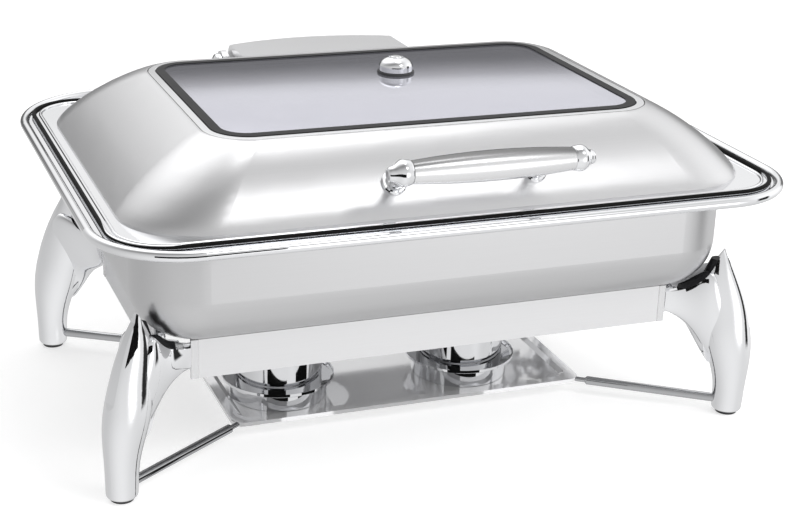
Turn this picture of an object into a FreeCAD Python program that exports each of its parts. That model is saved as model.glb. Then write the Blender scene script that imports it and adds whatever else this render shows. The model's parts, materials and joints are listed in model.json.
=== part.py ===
import FreeCAD, Part
import math
import os

from FreeCAD import Placement, Rotation, Vector

# A full-size chafing dish in millimetres. The origin is on the table between the four feet,
# +Z is up, +X is to the right and the front with the lid handle faces -Y.

# Water pan
PAN_HALF_X = 257.5
PAN_HALF_Y = 175.3
PAN_CORNER = 53.0
PAN_FILLET = 42.0
PAN_BOTTOM = 122.5
PAN_TOP = 223.0
PAN_WALL = 1.2

# Deck round the pan, with a rolled outer edge
RIM_HALF_X = 297.0
RIM_FRONT = -227.0
RIM_REAR = 247.0
RIM_CORNER_FRONT = 76.0
RIM_CORNER_REAR = 104.0
ROLL_RADIUS = 4.2
ROLL_WALL = 1.2
ROLL_CENTRE_Z = 223.5
ROLL_OPEN_FROM = -160.0
ROLL_OPEN_TO = 175.0
DECK_TOP = 224.2
DECK_THICK = 1.2
DECK_OPEN_X = 256.0
DECK_OPEN_Y = 153.5
DECK_OPEN_CORNER = 24.0

# Food pan of the common full catering size, 530 x 325 x 65
FOOD_FLANGE_X = 265.0
FOOD_FLANGE_Y = 162.5
FOOD_FLANGE_CORNER = 34.0
FOOD_MOUTH_X = 252.0
FOOD_MOUTH_Y = 149.5
FOOD_MOUTH_CORNER = 30.0
FOOD_FLOOR_X = 244.0
FOOD_FLOOR_Y = 141.5
FOOD_FLOOR_CORNER = 26.0
FOOD_DEPTH = 65.0
FOOD_FILLET = 14.0
FOOD_WALL = 0.8

# Lid shell: outline at the base, outline at the window, and the curve between them
LID_BASE_X = 267.4
LID_BASE_FRONT = -194.0
LID_BASE_REAR = 192.0
LID_BASE_CORNER = 69.0
LID_BASE_Z = 227.0
LID_TOP_X = 193.2
LID_TOP_FRONT = -139.4
LID_TOP_REAR = 119.2
LID_TOP_CORNER = 38.2
LID_TOP_Z = 281.7
LID_CURVE = 1.23
LID_CURVE_STEPS = 9
LID_WALL = 0.9

# Lid flange
FLANGE_X = 283.6
FLANGE_FRONT = -210.0
FLANGE_REAR = 211.0
FLANGE_CORNER_FRONT = 49.0
FLANGE_CORNER_REAR = 46.0
FLANGE_BOTTOM = 224.5
FLANGE_THICK = 1.2
FLANGE_BEAD = 1.9
FLANGE_RIDGE = 1.6
FLANGE_RIDGE_INSET = 8.0

# Window
LEDGE_X = 177.5
LEDGE_FRONT = -122.5
LEDGE_REAR = 105.5
LEDGE_CORNER = 21.5
LEDGE_TOP = 276.6
BEZEL_TOP = 281.9
BEZEL_ROUND = 1.2
GASKET_X = 185.3
GASKET_FRONT = -131.4
GASKET_REAR = 112.4
GASKET_CORNER = 30.4
GASKET_TOP = 282.4
GLASS_X = 181.0
GLASS_FRONT = -126.5
GLASS_REAR = 109.0
GLASS_CORNER = 25.5
GLASS_BOTTOM = 277.6
GLASS_THICK = 4.0
GLASS_BORE_GAP = 0.3

# Steam vent in the window
VENT_X = 20.0
VENT_Y = 31.0
VENT_WASHER_RADIUS = 16.5
VENT_WASHER_THICK = 2.0
VENT_WASHER_ROUND = 0.8
VENT_CAP_RADIUS = 15.0
VENT_CAP_BOTTOM = 283.9
VENT_CAP_TOP = 295.4
VENT_SKIRT_HEIGHT = 4.0
VENT_CROWN_TURN = 62.0
VENT_CROWN_STEPS = 10
VENT_DIMPLE_Z = 293.6
VENT_DIMPLE_RADIUS = 6.6
VENT_STEM_RADIUS = 3.0
VENT_HEAD_RADIUS = 5.2
VENT_HEAD_Z = 293.9
VENT_HEAD_TOP = 296.5
VENT_HEAD_ROUND = 1.6
VENT_STEM_PROUD = 1.5
VENT_NUT_RADIUS = 6.0
VENT_NUT_BOTTOM = 273.2
RUNNING_GAP = 0.05

# Handle
BAR_Y = -228.7
BAR_Z = 275.2
BAR_MID_RADIUS = 11.9
BAR_END_RADIUS = 8.9
BAR_HALF = 66.0
CAP_TIP_X = 85.5
CAP_BULGE_X = 72.5
CAP_BULGE_RADIUS = 10.4
CAP_NECK_RADIUS = 8.2
CAP_SHOULDER = Vector(2.4, -0.6, 0)
CAP_TAPER = Vector(-5.0, -4.2, 0)
POST_X = 59.7
POST_FOOT_Y = -177.5
POST_FOOT_Z = 249.9
POST_RADIUS = 5.2
ROSETTE_RADIUS = 10.2
ROSETTE_STEP_RADIUS = 7.6
ROSETTE_THICK = 3.2
ROSETTE_STEP = 3.0
ROSETTE_CHAMFER = 0.9
ROSETTE_SINK = 1.5
DOME_NORMAL = Vector(0, -0.736, 0.677)
HANDLE_SCREW_RADIUS = 2.5
HANDLE_SCREW_HEAD = 5.0
HANDLE_SCREW_HEAD_HEIGHT = 2.4
HANDLE_SCREW_SEAT = 2.6
HANDLE_SCREW_TIP = 12.0
HANDLE_WASHER_THICK = 1.6

# Hinge
PIVOT_Y = 215.0
PIVOT_Z = 250.0
PIN_RADIUS = 4.0
PIN_HALF = 92.6
PIN_CAP_RADIUS = 12.0
PIN_CAP_END = 100.0
EAR_INNER = 86.0
EAR_OUTER = 92.0
EAR_RADIUS = 14.4
BASE_FRONT = 214.0
BASE_REAR = 238.0
BASE_THICK = 2.0
PIN_BORE_HALF = 110.0
DAMPER_HALF = 62.0
DAMPER_RADIUS = 11.0
DAMPER_COLLAR = 12.2
DAMPER_COLLAR_LENGTH = 9.0
SADDLE_HALF = 50.0
SADDLE_FRONT = 215.0
SADDLE_REAR = 227.0
ARM_INNER = 70.0
ARM_OUTER = 76.0
ARM_RADIUS = 10.0
ARM_WALL_TOP_Y = 140.0
ARM_WALL_FOOT = (172.0, 244.0)
HOOD_HALF = 83.4
HOOD_TOP = 270.5
HOOD_THICK = 1.5
HOOD_FRONT = 130.0
HOOD_CORNER_Y = 213.0
HOOD_BOW_Y = 229.0
CHEEK_RADIUS = 12.5
HINGE_SCREWS_X = (-74.0, -30.0, 30.0, 74.0)
HINGE_SCREW_Y = 231.5
HINGE_SCREW_RADIUS = 2.0
HINGE_SCREW_HEAD = 3.8
HINGE_SCREW_HEAD_HEIGHT = 2.0
HINGE_NUT_RADIUS = 4.0
HINGE_NUT_HEIGHT = 3.0

# Stand: rails
RAIL_FRONT_HALF = 213.0
RAIL_FRONT_FACE = 140.4
RAIL_SIDE_HALF = 105.0
RAIL_SIDE_FACE = 234.0
RAIL_BOTTOM = 87.7
RAIL_TOP = 122.2
RAIL_THICK = 2.0
RAIL_END = 6.5
RAIL_END_PROUD = 0.5
RAIL_END_ROUND = 0.45
RAIL_LEDGE = 15.0
RAIL_SIDE_LEDGE = 22.0
RAIL_LIP = 7.0
STUD_RADIUS = 2.5
STUD_INSET = 11.0
STUD_Z = 107.0
STUD_LENGTH = 9.0
NUT_RADIUS = 5.4
NUT_HEIGHT = 4.0

# Stand: legs. Each section is (height, x, y, half length outwards, half width) of an ellipse.
LEG_TURN = -40.0
LEG_SECTIONS = (
    (3.0, 275.0, -159.4, 13.0, 12.6),
    (16.0, 274.8, -159.8, 13.6, 13.2),
    (34.0, 274.2, -160.0, 15.0, 14.0),
    (60.0, 270.8, -158.6, 19.8, 17.2),
    (85.0, 266.4, -156.4, 21.6, 17.6),
    (110.0, 261.6, -153.4, 20.6, 14.6),
    (132.0, 258.6, -152.4, 14.2, 10.6),
    (153.5, 256.8, -152.8, 4.6, 3.2),
    (156.8, 256.5, -152.8, 3.2, 2.2),
)
# Front arm sections: (x, y, height, half width, half height, outward lean in degrees).
FRONT_ARM = (
    (213.0, -139.6, 109.4, 2.0, 12.4, 0.0),
    (223.0, -140.8, 107.0, 5.0, 14.6, 0.0),
    (233.0, -144.6, 105.2, 8.2, 20.6, 0.0),
    (243.0, -150.8, 103.0, 10.6, 32.0, 4.0),
    (253.0, -153.6, 93.6, 12.8, 38.4, 2.0),
    (263.0, -156.0, 80.5, 13.0, 47.5, 0.0),
)
# Side arm sections: (y, x, height, half width, half height, outward lean in degrees).
SIDE_ARM = (
    (-105.0, 236.0, 109.0, 2.6, 12.6, 14.0),
    (-115.0, 240.5, 109.5, 6.0, 18.4, 18.0),
    (-125.0, 246.0, 108.5, 9.0, 24.0, 18.0),
    (-135.0, 251.0, 106.5, 11.5, 30.0, 18.0),
    (-145.0, 256.0, 101.0, 13.0, 37.0, 14.0),
    (-155.0, 261.0, 88.0, 13.0, 40.0, 8.0),
)
TAB_LENGTH = 19.0
TAB_THICK = 3.0
TAB_SINK = 5.0
TAB_BOTTOM = 95.0
TAB_TOP = 117.5
CRADLE_BOTTOM = 115.0
CRADLE_FLAT = 18.0
CRADLE_RADIUS = 42.6
CRADLE_SLOPE = 66.5
CRADLE_TOP = 180.0
CRADLE_REACH = 60.0
FACET_MIDDLE = Vector(272.7, -161.4, 118.0)
FACET_NORMAL = Vector(0.8435, -0.392, 0.368)
FACET_REACH = 90.0
FACET_RADIUS = 210.0
FACET_BULGE = 2.6
FOOT_ROUND = 3.0
PAD_RADIUS = 9.6
PAD_ROUND = 1.0
CUSHION_TOP = 146.0
CUSHION_FRONT_END = 226.0
CUSHION_SIDE_END = -116.0
CUSHION_GAP = 0.3

# Stand: fuel tray and its tie rods
TRAY_HALF_X = 163.9
TRAY_HALF_Y = 89.6
TRAY_CORNER = 10.0
TRAY_TOP = 16.2
TRAY_BOTTOM = 12.8
TRAY_WALL = 1.2
RECESS_HALF_X = 155.6
RECESS_HALF_Y = 80.4
RECESS_CORNER = 12.0
RECESS_DEPTH = 2.4
RECESS_SLOPE = 4.6
ROD_RADIUS = 3.9
ROD_NECK_RADIUS = 2.2
ROD_NECK_END = 11.0
ROD_SHOULDER = 1.6
ROD_LEG_END = Vector(268.0, -158.0, 12.6)
ROD_TRAY_END = Vector(158.0, -85.6, 14.6)

# Burners
BURNER_X = (-107.2, 66.8)
BURNER_Y = -31.0
BURNER_BOTTOM = 14.1
SKIRT_RADIUS = 43.5
SAUCER_Z = 29.0
SAUCER_RADIUS = 50.0
SAUCER_LIP = 4.0
SAUCER_BEND = 3.0
SAUCER_RISE = 2.2
CUP_RADIUS = 39.0
CUP_FLOOR = 16.0
CUP_TOP = 58.0
BURNER_WALL = 1.2
LUG_X = 55.0
LUG_RADIUS = 6.0
LUG_THICK = 3.0
COVER_GAP = 0.3
COVER_PIN_RADIUS = 2.5
COVER_PIN_COLLAR = 1.8
COVER_PIN_HEAD = 1.6
COVER_PIN_TOP = 63.6
COVER_BOTTOM = 59.0
COVER_THICK = 1.2
COVER_STEP = 1.6
COVER_STEP_INSET = 5.0
COVER_ARM_THICK = 3.0
COVER_RADIUS = 40.0
COVER_OPEN = 110.0
COVER_KNOB_RADIUS = 6.5
COVER_KNOB_NECK = 3.0
COVER_KNOB_NECK_HEIGHT = 3.5
COVER_KNOB_HEIGHT = 11.0
COVER_ARM_HALF = 5.0
CAN_RADIUS = 36.8
CAN_TOP = 54.5
CAN_MOUTH_RADIUS = 21.0
CAN_MOUTH_DEPTH = 4.0
CAN_SEAM = 1.2
CAN_SEAM_HEIGHT = 2.6
CAN_SEAM_SLOPE = 0.8
CAN_SEAM_WIDTH = 1.6
CAN_SEAM_DEPTH = 1.5
CAN_GAP = 0.3


def save(name, shape):
    """Write one piece, or a group of alike pieces, as its own file."""
    shape.exportStep(f"parts/{name}.step")
    bad = [number for number, solid in enumerate(shape.Solids) if not solid.isValid()]
    box = shape.BoundBox
    print(f"{name}: {len(shape.Solids)} solid(s), {shape.Volume / 1000:.1f} cm3, "
          f"x {box.XMin:.1f} {box.XMax:.1f}, y {box.YMin:.1f} {box.YMax:.1f}, "
          f"z {box.ZMin:.1f} {box.ZMax:.1f} {'BAD' if bad else ''}")


def outline(half, front, rear, corner_front, corner_rear, z):
    """Closed outline at one height: straight sides, round corners, mirrored in x."""
    corners = (
        (half, front, corner_front, -90),
        (half, rear, corner_rear, 0),
        (-half, rear, corner_rear, 90),
        (-half, front, corner_front, 180),
    )
    arcs = []
    for x, y, radius, start in corners:
        centre_x = x - math.copysign(radius, x)
        centre_y = y + radius if y == front else y - radius
        arcs.append([
            Vector(centre_x + radius * math.cos(math.radians(start + turn)),
                   centre_y + radius * math.sin(math.radians(start + turn)), z)
            for turn in (0, 45, 90)
        ])
    edges = []
    for number, arc in enumerate(arcs):
        edges.append(Part.LineSegment(arcs[number - 1][2], arc[0]).toShape())
        edges.append(Part.Arc(*arc).toShape())
    return Part.Wire(edges)


def plate(half, front, rear, corner_front, corner_rear, low, high):
    """Upright plate with the outline's shape, from height low to high."""
    wire = outline(half, front, rear, corner_front, corner_rear, low)
    return Part.Face(wire).extrude(Vector(0, 0, high - low))


def dish(half_x, half_y, corner, fillet, low, high):
    """Solid block with round corners and one fillet all round its bottom edge."""
    block = plate(half_x, -half_y, half_y, corner, corner, low, high)
    bottom = [e for e in block.Edges if e.BoundBox.ZMax < low + 0.01]
    return block.makeFillet(fillet, bottom)


def rod(radius, start, end):
    """Round bar between two points."""
    run = end - start
    return Part.makeCylinder(radius, run.Length, start, run)


def turned(points, centre, axis=Vector(0, 0, 1)):
    """Solid of revolution: points are (radius, distance along the axis), joined by straight lines."""
    wire = Part.makePolygon([Vector(r, 0, h) for r, h in points] + [Vector(points[0][0], 0, points[0][1])])
    solid = Part.Face(wire).revolve(Vector(0, 0, 0), Vector(0, 0, 1), 360)
    solid.Placement = Placement(centre, Rotation(Vector(0, 0, 1), axis))
    return solid


def hexagon(radius, height, start, axis):
    """Hexagonal nut blank standing on start along axis."""
    points = [Vector(radius * math.cos(math.radians(60 * k)), radius * math.sin(math.radians(60 * k)), 0)
              for k in range(7)]
    nut = Part.Face(Part.makePolygon(points)).extrude(Vector(0, 0, height))
    nut.Placement = Placement(start, Rotation(Vector(0, 0, 1), axis))
    return nut


def block(x0, x1, y0, y1, z0, z1):
    """Plain box between two corners."""
    return Part.makeBox(x1 - x0, y1 - y0, z1 - z0, Vector(x0, y0, z0))


def side_plate(x0, x1, points):
    """Flat plate in the YZ plane from x0 to x1, with straight edges through the points."""
    wire = Part.makePolygon([Vector(x0, y, z) for y, z in points + points[:1]])
    return Part.Face(wire).extrude(Vector(x1 - x0, 0, 0))


def cross_bar(radius, x0, x1):
    """Round bar along X on the hinge axis."""
    return rod(radius, Vector(x0, PIVOT_Y, PIVOT_Z), Vector(x1, PIVOT_Y, PIVOT_Z))


def mirror_x(shape):
    """The same piece on the dish's other end."""
    return shape.mirror(Vector(0, 0, 0), Vector(1, 0, 0))


def mirror_y(shape):
    """The same piece on the dish's other side, front to rear."""
    return shape.mirror(Vector(0, 0, 0), Vector(0, 1, 0))


def half_turn(shape):
    """The same piece turned to the opposite side of the dish."""
    turned_shape = shape.copy()
    turned_shape.rotate(Vector(0, 0, 0), Vector(0, 0, 1), 180)
    return turned_shape


# Water pan and deck

def water_pan():
    """Deep drawn pan with an even wall and an open top."""
    outer = dish(PAN_HALF_X, PAN_HALF_Y, PAN_CORNER, PAN_FILLET, PAN_BOTTOM, PAN_TOP)
    inner = dish(PAN_HALF_X - PAN_WALL, PAN_HALF_Y - PAN_WALL, PAN_CORNER - PAN_WALL,
                 PAN_FILLET - PAN_WALL, PAN_BOTTOM + PAN_WALL, PAN_TOP + 1)
    return outer.cut(inner)


def roll(path_start, path):
    """Rolled sheet edge: a tube with a slit on its inner underside, swept round the outline."""
    middle = (ROLL_OPEN_FROM + ROLL_OPEN_TO) / 2

    def at(radius, angle):
        # the profile stands in the YZ plane, and its outer side faces the front
        turn = math.radians(angle)
        return path_start + Vector(0, -radius * math.cos(turn), radius * math.sin(turn))

    outer = ROLL_RADIUS
    inner = ROLL_RADIUS - ROLL_WALL
    profile = Part.Wire([
        Part.Arc(at(outer, ROLL_OPEN_FROM), at(outer, middle), at(outer, ROLL_OPEN_TO)).toShape(),
        Part.LineSegment(at(outer, ROLL_OPEN_TO), at(inner, ROLL_OPEN_TO)).toShape(),
        Part.Arc(at(inner, ROLL_OPEN_TO), at(inner, middle), at(inner, ROLL_OPEN_FROM)).toShape(),
        Part.LineSegment(at(inner, ROLL_OPEN_FROM), at(outer, ROLL_OPEN_FROM)).toShape(),
    ])
    return path.makePipeShell([profile], True, True)


def bead(radius, half, front, rear, corner_front, corner_rear, z):
    """Round bead along an outline."""
    path = outline(half, front, rear, corner_front, corner_rear, z)
    start = Vector(-half + corner_front, front, z)
    profile = Part.Wire([Part.makeCircle(radius, start, Vector(1, 0, 0))])
    return path.makePipeShell([profile], True, True)


def hinge_screw_bore(x):
    """Clearance hole down through the hinge's foot and the deck."""
    low = Vector(x, HINGE_SCREW_Y, DECK_TOP - 10)
    return rod(HINGE_SCREW_RADIUS, low, low + Vector(0, 0, 20))


def pan_rim():
    """Flat deck with the food pan's opening and a rolled edge all round."""
    inset = ROLL_RADIUS
    path = outline(RIM_HALF_X - inset, RIM_FRONT + inset, RIM_REAR - inset,
                   RIM_CORNER_FRONT - inset, RIM_CORNER_REAR - inset, ROLL_CENTRE_Z)
    start = Vector(-RIM_HALF_X + RIM_CORNER_FRONT, RIM_FRONT + inset, ROLL_CENTRE_Z)
    edge = roll(start, path)
    reach = 2 * ROLL_RADIUS - ROLL_WALL / 2
    deck = plate(RIM_HALF_X - reach, RIM_FRONT + reach, RIM_REAR - reach,
                 RIM_CORNER_FRONT - reach, RIM_CORNER_REAR - reach, DECK_TOP - DECK_THICK, DECK_TOP)
    opening = plate(DECK_OPEN_X, -DECK_OPEN_Y, DECK_OPEN_Y, DECK_OPEN_CORNER, DECK_OPEN_CORNER,
                    DECK_TOP - 5, DECK_TOP + 5)
    rim = deck.cut(opening).fuse(edge)
    for x in HINGE_SCREWS_X:
        rim = rim.cut(hinge_screw_bore(x))
    return rim.removeSplitter()


# Food pan

def food_pan():
    """Tapered pan with a thin wall, hung in the deck's opening by its flange."""
    top = DECK_TOP + FOOD_WALL
    bottom = top - FOOD_DEPTH

    def tub(inset, low, high, fillet):
        upper = outline(FOOD_MOUTH_X - inset, -FOOD_MOUTH_Y + inset, FOOD_MOUTH_Y - inset,
                        FOOD_MOUTH_CORNER - inset, FOOD_MOUTH_CORNER - inset, high)
        lower = outline(FOOD_FLOOR_X - inset, -FOOD_FLOOR_Y + inset, FOOD_FLOOR_Y - inset,
                        FOOD_FLOOR_CORNER - inset, FOOD_FLOOR_CORNER - inset, low)
        body = Part.makeLoft([lower, upper], True, True)
        edges = [e for e in body.Edges if e.BoundBox.ZMax < low + 0.01]
        return body.makeFillet(fillet, edges)

    outside = tub(0, bottom, top, FOOD_FILLET)
    flange = plate(FOOD_FLANGE_X, -FOOD_FLANGE_Y, FOOD_FLANGE_Y,
                   FOOD_FLANGE_CORNER, FOOD_FLANGE_CORNER, DECK_TOP, top)
    hollow = tub(FOOD_WALL, bottom + FOOD_WALL, top + 0.001, FOOD_FILLET - FOOD_WALL)
    return outside.fuse(flange).cut(hollow)


# Lid

def lid_section(turn, inset, drop):
    """Outline of the lid where the curve has turned by this angle, moved in and down for the wall."""
    across = 1 - math.cos(turn) ** (2 / LID_CURVE)
    up = math.sin(turn) ** (2 / LID_CURVE)
    return outline(
        LID_BASE_X + (LID_TOP_X - LID_BASE_X) * across - inset,
        LID_BASE_FRONT + (LID_TOP_FRONT - LID_BASE_FRONT) * across + inset,
        LID_BASE_REAR + (LID_TOP_REAR - LID_BASE_REAR) * across - inset,
        LID_BASE_CORNER + (LID_TOP_CORNER - LID_BASE_CORNER) * across - inset,
        LID_BASE_CORNER + (LID_TOP_CORNER - LID_BASE_CORNER) * across - inset,
        LID_BASE_Z + (LID_TOP_Z - LID_BASE_Z) * up - drop,
    )


def lid_block(wall):
    """The lid's outside as a solid block, or its inside when it is moved in by a wall."""
    sections = []
    for step in range(LID_CURVE_STEPS):
        turn = math.pi / 2 * step / (LID_CURVE_STEPS - 1)
        sections.append(lid_section(turn, wall * math.cos(turn), wall * math.sin(turn)))
    crown = Part.makeLoft(sections, True, False)
    collar = plate(LID_BASE_X - wall, LID_BASE_FRONT + wall, LID_BASE_REAR - wall,
                   LID_BASE_CORNER - wall, LID_BASE_CORNER - wall, FLANGE_BOTTOM + FLANGE_THICK, LID_BASE_Z)
    return crown, collar


def window_plate(spread, low, high):
    """Plate with the outline of the window opening in the lid shell, made larger by spread."""
    return plate(LID_TOP_X + spread, LID_TOP_FRONT - spread, LID_TOP_REAR + spread,
                 LID_TOP_CORNER + spread, LID_TOP_CORNER + spread, low, high)


def ledge_opening(low, high):
    """The clear opening inside the ledge that carries the glass."""
    return plate(LEDGE_X, LEDGE_FRONT, LEDGE_REAR, LEDGE_CORNER, LEDGE_CORNER, low, high)


def lid_outside():
    """The lid's outside as one block, for cutting other pieces to it."""
    crown, collar = lid_block(0)
    return crown.fuse(collar)


def lid_dome():
    """Lid shell with a sunk ledge round the window and holes for the handle's screws."""
    crown, collar = lid_block(0)
    crown_inside, collar_inside = lid_block(LID_WALL)
    shell = crown.cut(crown_inside)
    skirt = collar.cut(collar_inside)
    well = window_plate(0, LEDGE_TOP, LID_TOP_Z + 1)
    shell = shell.fuse(skirt).cut(well)
    ledge = window_plate(LID_WALL, LEDGE_TOP - LID_WALL, LID_TOP_Z - 0.1).cut(well)
    ledge = ledge.cut(ledge_opening(LEDGE_TOP - 5, LEDGE_TOP + 5))
    dome = shell.fuse(ledge)
    for screw in handle_screw_lines():
        dome = dome.cut(screw)
    return dome.removeSplitter()


def lid_rim():
    """Flat flange round the lid's base with a beaded edge and one ridge."""
    inset = FLANGE_BEAD
    top = FLANGE_BOTTOM + FLANGE_THICK
    ring = plate(FLANGE_X - inset, FLANGE_FRONT + inset, FLANGE_REAR - inset,
                 FLANGE_CORNER_FRONT - inset, FLANGE_CORNER_REAR - inset, FLANGE_BOTTOM, top)
    opening = plate(LID_BASE_X - LID_WALL, LID_BASE_FRONT + LID_WALL, LID_BASE_REAR - LID_WALL,
                    LID_BASE_CORNER - LID_WALL, LID_BASE_CORNER - LID_WALL, FLANGE_BOTTOM - 5, top + 5)
    edge = bead(FLANGE_BEAD, FLANGE_X - inset, FLANGE_FRONT + inset, FLANGE_REAR - inset,
                FLANGE_CORNER_FRONT - inset, FLANGE_CORNER_REAR - inset, FLANGE_BOTTOM + FLANGE_BEAD)
    in_by = FLANGE_RIDGE_INSET
    ridge = bead(FLANGE_RIDGE, FLANGE_X - in_by, FLANGE_FRONT + in_by, FLANGE_REAR - in_by,
                 FLANGE_CORNER_FRONT - in_by, FLANGE_CORNER_REAR - in_by, top)
    under = block(-400, 400, -400, 400, FLANGE_BOTTOM - 10, FLANGE_BOTTOM)
    return ring.cut(opening).fuse(edge).fuse(ridge.cut(under)).removeSplitter()


def window_bezel():
    """Flat frame round the window with softened top edges."""
    outer = window_plate(0, LEDGE_TOP, BEZEL_TOP)
    inner = plate(GASKET_X, GASKET_FRONT, GASKET_REAR, GASKET_CORNER, GASKET_CORNER,
                  LEDGE_TOP - 1, BEZEL_TOP + 1)
    ring = outer.cut(inner)
    top = [e for e in ring.Edges if e.BoundBox.ZMin > BEZEL_TOP - 0.01]
    return ring.makeFillet(BEZEL_ROUND, top)


def window_glass():
    """Flat pane with a hole for the vent's stem."""
    glass = plate(GLASS_X, GLASS_FRONT, GLASS_REAR, GLASS_CORNER, GLASS_CORNER,
                  GLASS_BOTTOM, GLASS_BOTTOM + GLASS_THICK)
    bore = rod(VENT_STEM_RADIUS + GLASS_BORE_GAP, vent_at(GLASS_BOTTOM - 5), vent_at(GLASS_BOTTOM + 10))
    return glass.cut(bore)


def window_gasket():
    """Seal with a groove that holds the pane's edge."""
    ring = plate(GASKET_X, GASKET_FRONT, GASKET_REAR, GASKET_CORNER, GASKET_CORNER, LEDGE_TOP, GASKET_TOP)
    ring = ring.cut(ledge_opening(LEDGE_TOP - 5, GASKET_TOP + 5))
    groove = plate(GLASS_X, GLASS_FRONT, GLASS_REAR, GLASS_CORNER, GLASS_CORNER,
                   GLASS_BOTTOM, GLASS_BOTTOM + GLASS_THICK)
    return ring.cut(groove)


def vent_at(z):
    """The vent's middle at one height."""
    return Vector(VENT_X, VENT_Y, z)


def vent_washer():
    """Soft disc under the vent's cap."""
    low = GLASS_BOTTOM + GLASS_THICK
    washer = rod(VENT_WASHER_RADIUS, vent_at(low), vent_at(low + VENT_WASHER_THICK))
    rim = [e for e in washer.Edges if e.BoundBox.ZMin > low + VENT_WASHER_THICK - 0.01]
    washer = washer.makeFillet(VENT_WASHER_ROUND, rim)
    return washer.cut(rod(VENT_STEM_RADIUS, vent_at(low - 1), vent_at(low + VENT_WASHER_THICK + 1)))


def vent_cap():
    """Domed cap: a wide skirt, a round crown and a dimple that the stem's head sits in."""
    bore = VENT_STEM_RADIUS + RUNNING_GAP
    crown_start = VENT_CAP_BOTTOM + VENT_SKIRT_HEIGHT
    height = VENT_CAP_TOP - crown_start
    full_turn = math.radians(VENT_CROWN_TURN)
    profile = [(bore, VENT_CAP_BOTTOM), (VENT_CAP_RADIUS, VENT_CAP_BOTTOM)]
    for step in range(VENT_CROWN_STEPS + 1):
        turn = full_turn * step / VENT_CROWN_STEPS
        rise = height * math.sin(turn) / math.sin(full_turn)
        profile.append((VENT_CAP_RADIUS * math.cos(turn), crown_start + rise))
    profile += [(VENT_DIMPLE_RADIUS, VENT_DIMPLE_Z), (bore, VENT_DIMPLE_Z)]
    return turned(profile, vent_at(0))


def vent_stem():
    """Bolt through cap, washer and pane, with a rounded head in the cap's dimple."""
    shank = rod(VENT_STEM_RADIUS, vent_at(VENT_NUT_BOTTOM - VENT_STEM_PROUD), vent_at(VENT_HEAD_Z))
    head = rod(VENT_HEAD_RADIUS, vent_at(VENT_HEAD_Z), vent_at(VENT_HEAD_TOP))
    top = [e for e in head.Edges if e.BoundBox.ZMin > VENT_HEAD_TOP - 0.01]
    return shank.fuse(head.makeFillet(VENT_HEAD_ROUND, top))


def vent_nut():
    """Nut under the pane."""
    nut = hexagon(VENT_NUT_RADIUS, GLASS_BOTTOM - VENT_NUT_BOTTOM, vent_at(VENT_NUT_BOTTOM), Vector(0, 0, 1))
    return nut.cut(rod(VENT_STEM_RADIUS, vent_at(VENT_NUT_BOTTOM - 1), vent_at(GLASS_BOTTOM + 1)))


# Handle

def post_line():
    """The post's foot on the lid for the right side, and its direction to the bar."""
    foot = Vector(POST_X, POST_FOOT_Y, POST_FOOT_Z)
    return foot, (Vector(POST_X, BAR_Y, BAR_Z) - foot).normalize()


def handle_bar():
    """Bar that swells from both ends to its middle."""
    axis_low = Vector(-BAR_HALF, 0, 0)
    bow = Part.Arc(Vector(-BAR_HALF, BAR_END_RADIUS, 0), Vector(0, BAR_MID_RADIUS, 0),
                   Vector(BAR_HALF, BAR_END_RADIUS, 0)).toShape()
    edges = [
        Part.LineSegment(axis_low, Vector(-BAR_HALF, BAR_END_RADIUS, 0)).toShape(),
        bow,
        Part.LineSegment(Vector(BAR_HALF, BAR_END_RADIUS, 0), Vector(BAR_HALF, 0, 0)).toShape(),
        Part.LineSegment(Vector(BAR_HALF, 0, 0), axis_low).toShape(),
    ]
    bar = Part.Face(Part.Wire(edges)).revolve(Vector(0, 0, 0), Vector(1, 0, 0), 360)
    bar.translate(Vector(0, BAR_Y, BAR_Z))
    return bar


def handle_cap():
    """Acorn end cap of the right side: a neck, a bulge and a rounded tip."""
    tip = Vector(CAP_TIP_X, 0, 0)
    neck = Vector(BAR_HALF, CAP_NECK_RADIUS, 0)
    bulge = Vector(CAP_BULGE_X, CAP_BULGE_RADIUS, 0)
    shoulder = Vector(BAR_HALF, CAP_BULGE_RADIUS, 0) + CAP_SHOULDER
    taper = Vector(CAP_TIP_X, CAP_BULGE_RADIUS, 0) + CAP_TAPER
    curve = Part.BSplineCurve()
    curve.interpolate(Points=[neck, shoulder, bulge, taper, tip],
                      Tangents=[Vector(0.2, 1, 0), Vector(1, 0.55, 0), Vector(1, 0, 0),
                                Vector(0.8, -0.75, 0), Vector(0, -1, 0)],
                      TangentFlags=[True, False, True, False, True])
    edges = [
        curve.toShape(),
        Part.LineSegment(tip, Vector(BAR_HALF, 0, 0)).toShape(),
        Part.LineSegment(Vector(BAR_HALF, 0, 0), neck).toShape(),
    ]
    cap = Part.Face(Part.Wire(edges)).revolve(Vector(0, 0, 0), Vector(1, 0, 0), 360)
    cap.translate(Vector(0, BAR_Y, BAR_Z))
    return cap


def handle_post():
    """Right post: rosette on the lid, a stepped collar and the round post up to the bar."""
    foot, along = post_line()
    seat = foot - DOME_NORMAL * ROSETTE_SINK
    rosette = rod(ROSETTE_RADIUS, seat, foot + DOME_NORMAL * ROSETTE_THICK)
    step = Part.makeCone(ROSETTE_STEP_RADIUS, POST_RADIUS + 1.0, ROSETTE_STEP,
                         foot + DOME_NORMAL * ROSETTE_THICK, DOME_NORMAL)
    top_edge = [e for e in rosette.Edges if e.BoundBox.ZMax > foot.z + ROSETTE_THICK]
    rosette = rosette.makeChamfer(ROSETTE_CHAMFER, top_edge[:1])
    length = (Vector(POST_X, BAR_Y, BAR_Z) - foot).Length
    post = rod(POST_RADIUS, foot + along * 0.5, foot + along * length)
    whole = rosette.fuse(step).fuse(post).cut(lid_outside()).cut(handle_bar())
    hole = rod(HANDLE_SCREW_RADIUS, foot - along * 10, foot + along * HANDLE_SCREW_TIP)
    whole = whole.cut(hole)
    return max(whole.Solids, key=lambda solid: solid.Volume)


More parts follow.
